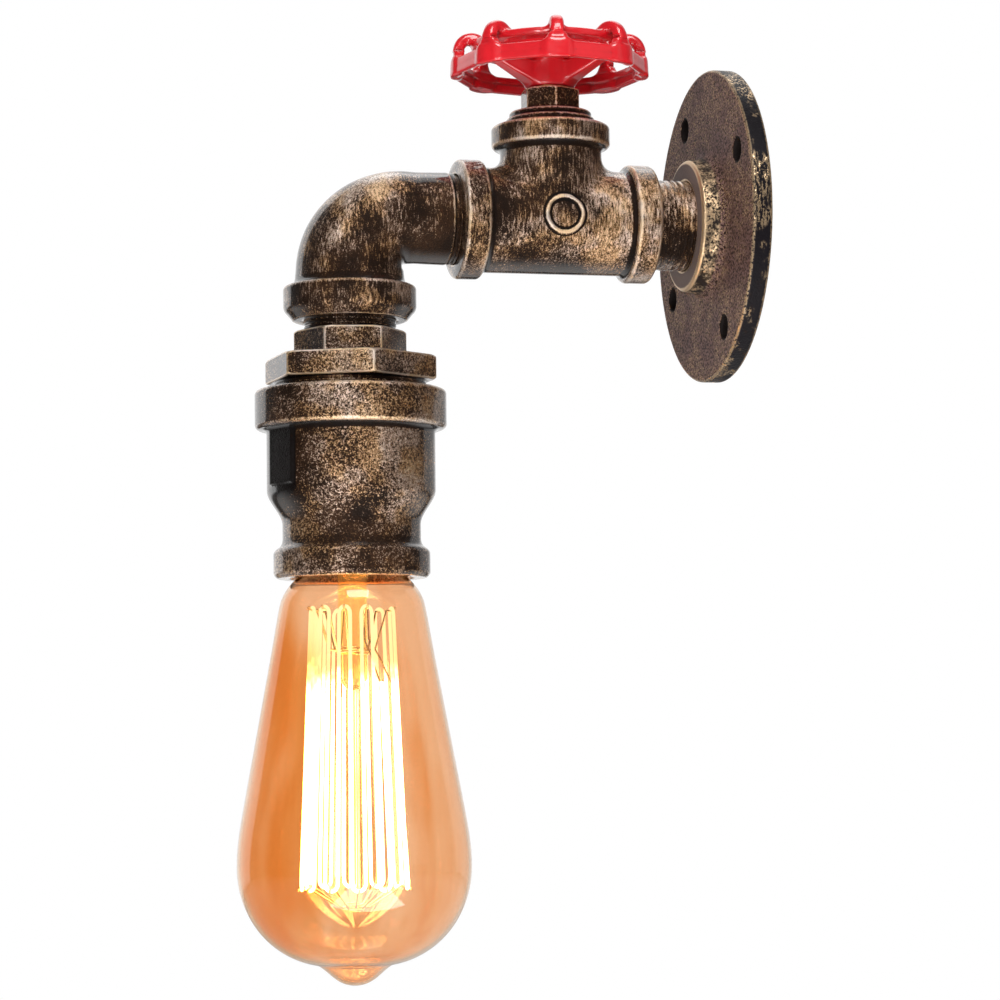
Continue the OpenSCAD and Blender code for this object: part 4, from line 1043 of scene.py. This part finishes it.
along_arm = (math.pi / 2, 0.0, 0.0)
upright = (0.0, 0.0, 0.0)
wall_foot, elbow_foot = (0, -hub_out - 0.6, 0), (0, tee_far - 0.6, 0)
neck_foot, bush_foot = (0, lamp_y, elbow_face - 3.1), (0, lamp_y, bell_top + 0.4)
thread_piece("wall_nipple_thread", pipe_r - 0.4, 1.8, 5.4, 0.6, wall_foot, along_arm, "wall_body")
thread_piece("elbow_thread", thread_core_r, 1.1, 1.6, 0.5, elbow_foot, along_arm, "lamp_head")
thread_piece("nipple_neck_thread", thread_core_r, 1.3, 2.2, 0.5, neck_foot, upright, "lamp_head")
thread_piece("bush_neck_thread", bush_thread_r, 1.1, 1.5, 0.45, bush_foot, upright, "lamp_head")

# Slotted screws of the connector and the lamp holder

screws = screw_tree()


def screw_piece(node, places, length, body):
    """Screws in place of a CAD node, with the underside of their heads on places."""
    slot = (4 * MM, 0.5 * MM, 0.9 * MM)
    values = {
        "Head Radius": 1.4 * MM, "Head Height": 0.8 * MM, "Shank Radius": 1.0 * MM,
        "Shank Length": length * MM, "Slot": slot, "Finish": steel,
    }
    mesh = grow(screws, [[p] for p in places], values)
    place_piece(node + "_slotted", mesh, steel, body, [node])


block_far, block_near = reach("terminal_block", Y)
block_top = reach("terminal_block", Z)[1]
pole_x, holder_pole_x, quarter = 3.9, 7.4, (block_near - block_far) / 4
block_places = [(side * pole_x, block_far + k * quarter, block_top) for side in (-1, 1) for k in (1, 3)]
screw_piece("terminal_screws", block_places, 3.6, "wall_body")
terminal_top = reach("holder_terminals", Z)[1]
holder_places = [(side * holder_pole_x, lamp_y, terminal_top) for side in (-1, 1)]
screw_piece("holder_terminal_screws", holder_places, 3.3, "lamp_head")

# Bulb

bulb_len, bulb_r, glass_t = bell_low - glass_low, 32.0, 0.8
throat_r, throat_drop, shoulder_r, shoulder_drop = 19.5, 6.3, 22.5, 22.0
tip_zone_r, tip_drop, neck_r, cap_setback = 10.4, 5.6, 12.3, 3.6
widest, side_low, ring_at = -0.71 * bulb_len, -0.57 * bulb_len, tip_drop - bulb_len
throat, shoulder = (throat_r, -throat_drop), (shoulder_r, -shoulder_drop)
flank, belly = (bulb_r * 0.944, side_low), (bulb_r, widest)
tip_ring, tip = (tip_zone_r, ring_at), (0, -bulb_len)
glass_outline = np.concatenate([
    [(neck_r, glass_top - bell_low)],
    bezier((neck_r, cap_setback * 0.9), (neck_r, cap_setback * 0.2),
           (throat_r * 0.88, -throat_drop * 0.03), throat, 14),
    bezier(throat, (throat_r * 1.035, -throat_drop * 1.32),
           (shoulder_r * 0.94, -shoulder_drop * 0.66), shoulder, 12),
    np.linspace(shoulder, flank, 10, endpoint=False),
    bezier(flank, (bulb_r * 0.98, side_low * 1.1), (bulb_r, widest * 0.936), belly, 12),
    bezier(belly, (bulb_r, widest - bulb_r * 0.43),
           (bulb_r * 0.71, ring_at + tip_drop * 0.36), tip_ring, 26),
    bezier(tip_ring, (tip_zone_r * 0.71, ring_at - tip_drop * 0.21),
           (tip_zone_r * 0.52, -bulb_len), tip, 14),
    [tip],
])
slope = np.gradient(glass_outline, axis=0)
inward = np.stack([slope[:, 1], -slope[:, 0]], 1) / np.linalg.norm(slope, axis=1)[:, None]
inner = glass_outline + glass_t * inward
inner[-1] = (0, glass_t - bulb_len)
inner = inner[inner[:, 0] >= 0]
loop = [(r, bell_low + h) for r, h in glass_outline[::-1]] + [(r, bell_low + h) for r, h in inner]
points, faces = lathe(loop, (0, lamp_y), 128)
cast_piece("bulb_cap", cap_shape, 0.25, brass, "bulb")
envelope = mesh_of("bulb_envelope", points, faces)
place_piece("bulb_envelope", envelope, amber, "bulb", ["bulb_glass"])

# Filament, its hooks and its lead-in wires

wires = wire_tree()
strands, cage_turn, cage_top_r, cage_low_r = 24, 53, 11.5, 14.5
filament_top, filament_low, filament_end, lead_in_top = -8.5, -85, -29, -17
filament_r, hook_r, lead_in_r = 0.5, 0.3, 0.22
bend_steps, bend_depth = 8, 2.0


def wire_piece(name, routes, radius, material, node):
    """Round wires in the bulb, in place of a CAD node."""
    values = {"Radius": radius * MM, "Sides": 8, "Finish": material}
    place_piece(name, grow(wires, routes, values), material, "bulb", [node])


def strand_at(i, r, height):
    """Place on one of the cage's strands, by its number."""
    angle = math.radians(cage_turn + 360 * (i + 0.5) / strands)
    return Vector((r * math.cos(angle), lamp_y + r * math.sin(angle), bell_low + height))


def hairpin(i):
    """One bend of the filament: even ones lie at the top, odd ones at the foot."""
    top = i % 2 == 0
    r, height, down = (cage_top_r, filament_top, -1) if top else (cage_low_r, filament_low, 1)
    a, b = strand_at(i, r, height), strand_at(i + 1, r, height)
    bend = []
    for k in range(bend_steps + 1):
        angle = math.pi * k / bend_steps
        share = 0.5 - 0.5 * math.cos(angle)
        drop = down * bend_depth * (1 - math.sin(angle))
        bend.append(a.lerp(b, share) + Vector((0, 0, drop)))
    return bend


cage = [strand_at(0, cage_top_r, filament_end)]
for i in range(1, strands - 2):
    cage += hairpin(i)
cage.append(strand_at(strands - 2, cage_top_r, filament_end))
wire_piece("filament_cage", [cage], filament_r, glow, "filament")

rod_r, stem_r = 1.5, 4.0
lower_hooks = (1, strands - 3, rod_r, -89.6, 1)
upper_hooks = (2, strands - 4, stem_r, -20.2, -1)
hooks = []
for first, last, seat_r, height, lift in (lower_hooks, upper_hooks):
    axis = Vector((0, lamp_y, bell_low + height))
    coil_r, coil_turns, coil_steps, coil_pitch = seat_r + 0.35, 3, 24, 2.2 * hook_r
    coil = []
    for k in range(coil_turns * coil_steps + 1):
        angle = 2 * math.pi * k / coil_steps
        rise = coil_pitch * (k / coil_steps - coil_turns / 2)
        coil.append(axis + Vector((coil_r * math.cos(angle), coil_r * math.sin(angle), rise)))
    hooks.append(coil)
    for i in range(first, last + 1, 2):
        crown = hairpin(i)[bend_steps // 2]
        aside = Vector((crown.x, crown.y - lamp_y, 0)).normalized()
        hold = crown + Vector((0, 0, lift * 0.75))
        start = axis + aside * (seat_r + 0.3)
        hooks.append([
            start,
            start + aside * 2.2 - Vector((0, 0, lift * 0.3)),
            hold - aside * 1.5,
            hold,
            hold + aside * 0.9 - Vector((0, 0, lift * 0.4)),
            hold + aside - Vector((0, 0, lift * 1.2)),
        ])
wire_piece("filament_hook_wires", hooks, hook_r, hook_metal, "filament_hooks")

root_r, root_rise, bend_r, arch_rise, end_gap = 4.3, 9, 4.6, 0.8, 0.75
lead_ins = []
for i in (0, strands - 2):
    root = strand_at(i, root_r, lead_in_top + root_rise)
    start, end = strand_at(i, bend_r, lead_in_top), strand_at(i, cage_top_r - end_gap, filament_end)
    arch = start.lerp(end, 0.5) + Vector((0, 0, arch_rise))
    lead_ins.append([root, start, arch, end])
wire_piece("lead_in_wire_pair", lead_ins, lead_in_r, nickel, "lead_in_wires")

# CAD nodes that keep their shape

carried = {
    thread_bronze: ["wall_nipple"],
    packing: ["gland_packing"],
    black_moulding: ["switch_case", "switch_base", "cap_insulator"],
    white_moulding: ["terminal_block", "switch_rotor"],
    brass: [
        "switch_contacts", "terminal_inserts", "thrust_washer",
        "screw_shell", "centre_contact", "holder_terminals",
    ],
    steel: ["spindle", "wheel_washer", "spindle_circlip", "clamp_ring", "bulb_tip_contact"],
    brown_insulation: ["feed_live_wire", "head_live_core"],
    black_insulation: ["switched_live_wire", "head_lead"],
    blue_insulation: ["neutral_wire", "head_neutral_core"],
    ceramic: ["holder_body"],
    # The stem's glass has a painted glow
    clear: ["glass_stem"],
}
for material, nodes in carried.items():
    for node in nodes:
        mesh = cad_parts[node].data
        mesh.materials.clear()
        mesh.materials.append(material)

# Studio: white surround, soft lamps and a pale floor that fades into the surround

world = bpy.data.worlds.new("studio")
scene.world = world
world.use_nodes = True
graph = Graph(world.node_tree)
seen, mirrored = graph.rays()
heading = graph.node("ShaderNodeTexCoord", {}, "Generated")
behind = graph.measure("DOT_PRODUCT", heading, tuple(look))
sideways = graph.measure("DOT_PRODUCT", heading, tuple(right))
height = graph.axis(heading, "Z")
room, ambient, side_loss = 0.025, 0.42, 0.65
backdrop = behind.between(0.48, 0.54) * height.between(-0.2, -0.1)
backdrop = backdrop * (1 - side_loss * sideways.between(0.1, 0.5))
reflected = room + (1 - room) * backdrop
level = seen + (1 - seen) * (mirrored * reflected + (1 - mirrored) * ambient)
background = graph.node("ShaderNodeBackground", {"Color": colour(1, 1, 1), "Strength": level})
graph.node("ShaderNodeOutputWorld", {"Surface": background})

middle = Vector((0, -0.085, -0.06))


def softbox(name, place, width, height, power, facing=None):
    """Area lamp that looks at the middle of the object, or the way that it is told to."""
    lamp = bpy.data.lights.new(name, "AREA")
    lamp.shape = "RECTANGLE"
    lamp.size = width
    lamp.size_y = height
    lamp.energy = power
    holder = add_object(name, lamp)
    holder.location = place
    holder.rotation_mode = "QUATERNION"
    way = Vector(facing) if facing else middle - Vector(place)
    holder.rotation_quaternion = way.to_track_quat("-Z", "Y")
    holder.visible_camera = False


softbox("high_softbox", (0.62, -0.1, 0.647), 0.5, 0.35, 4.2)
softbox("low_softbox", (0.2, -0.1, -0.285), 0.2, 0.16, 0.62, (-0.02, 0, 1))
softbox("front_strip", (0.757, -0.494, -0.05), 0.12, 0.5, 1.6)
softbox("side_softbox", (0.55, 0.55, 0.2), 0.5, 0.8, 0.3)
softbox("back_softbox", (-0.35, 0.1, 0.8), 0.6, 0.6, 1.2)

floor_drop = 90
floor_z = (glass_low - floor_drop) * MM
back, front, left_end, right_end = -600, 1600, -1500, 1300
floor_corners = [(back, left_end), (front, left_end), (front, right_end), (back, right_end)]
floor_mesh = mesh_of("floor", [(x, y, floor_z / MM) for x, y in floor_corners], [(0, 1, 2, 3)])
floor = add_object("floor", floor_mesh)
floor_paint, graph, place = new_surface("floor_paint")
grain = graph.noise(place, 3, 3.0, 0.5)
seen, mirrored = graph.rays()
away = graph.measure("DISTANCE", place, (middle.x, middle.y, floor_z))
dimmed, faded = mirrored * away.between(0.3, 1.3), seen * away.between(0.15, 0.58)
pale = graph.mix(grain, colour(0.8, 0.8, 0.79), colour(0.78, 0.78, 0.78))
paint = graph.node("ShaderNodeBsdfPrincipled", {
    "Base Color": graph.mix(dimmed, pale, colour(0.05, 0.05, 0.05)),
    "Roughness": 0.9,
    "Emission Color": graph.mix(seen, colour(0, 0, 0), colour(1, 1, 1)),
    "Emission Strength": 0.2,
})
white = graph.node("ShaderNodeEmission", {"Color": colour(1, 1, 1)})
blended = graph.node("ShaderNodeMixShader", {0: faded, 1: paint, 2: white})
graph.node("ShaderNodeOutputMaterial", {"Surface": blended})
floor_mesh.materials.append(floor_paint)
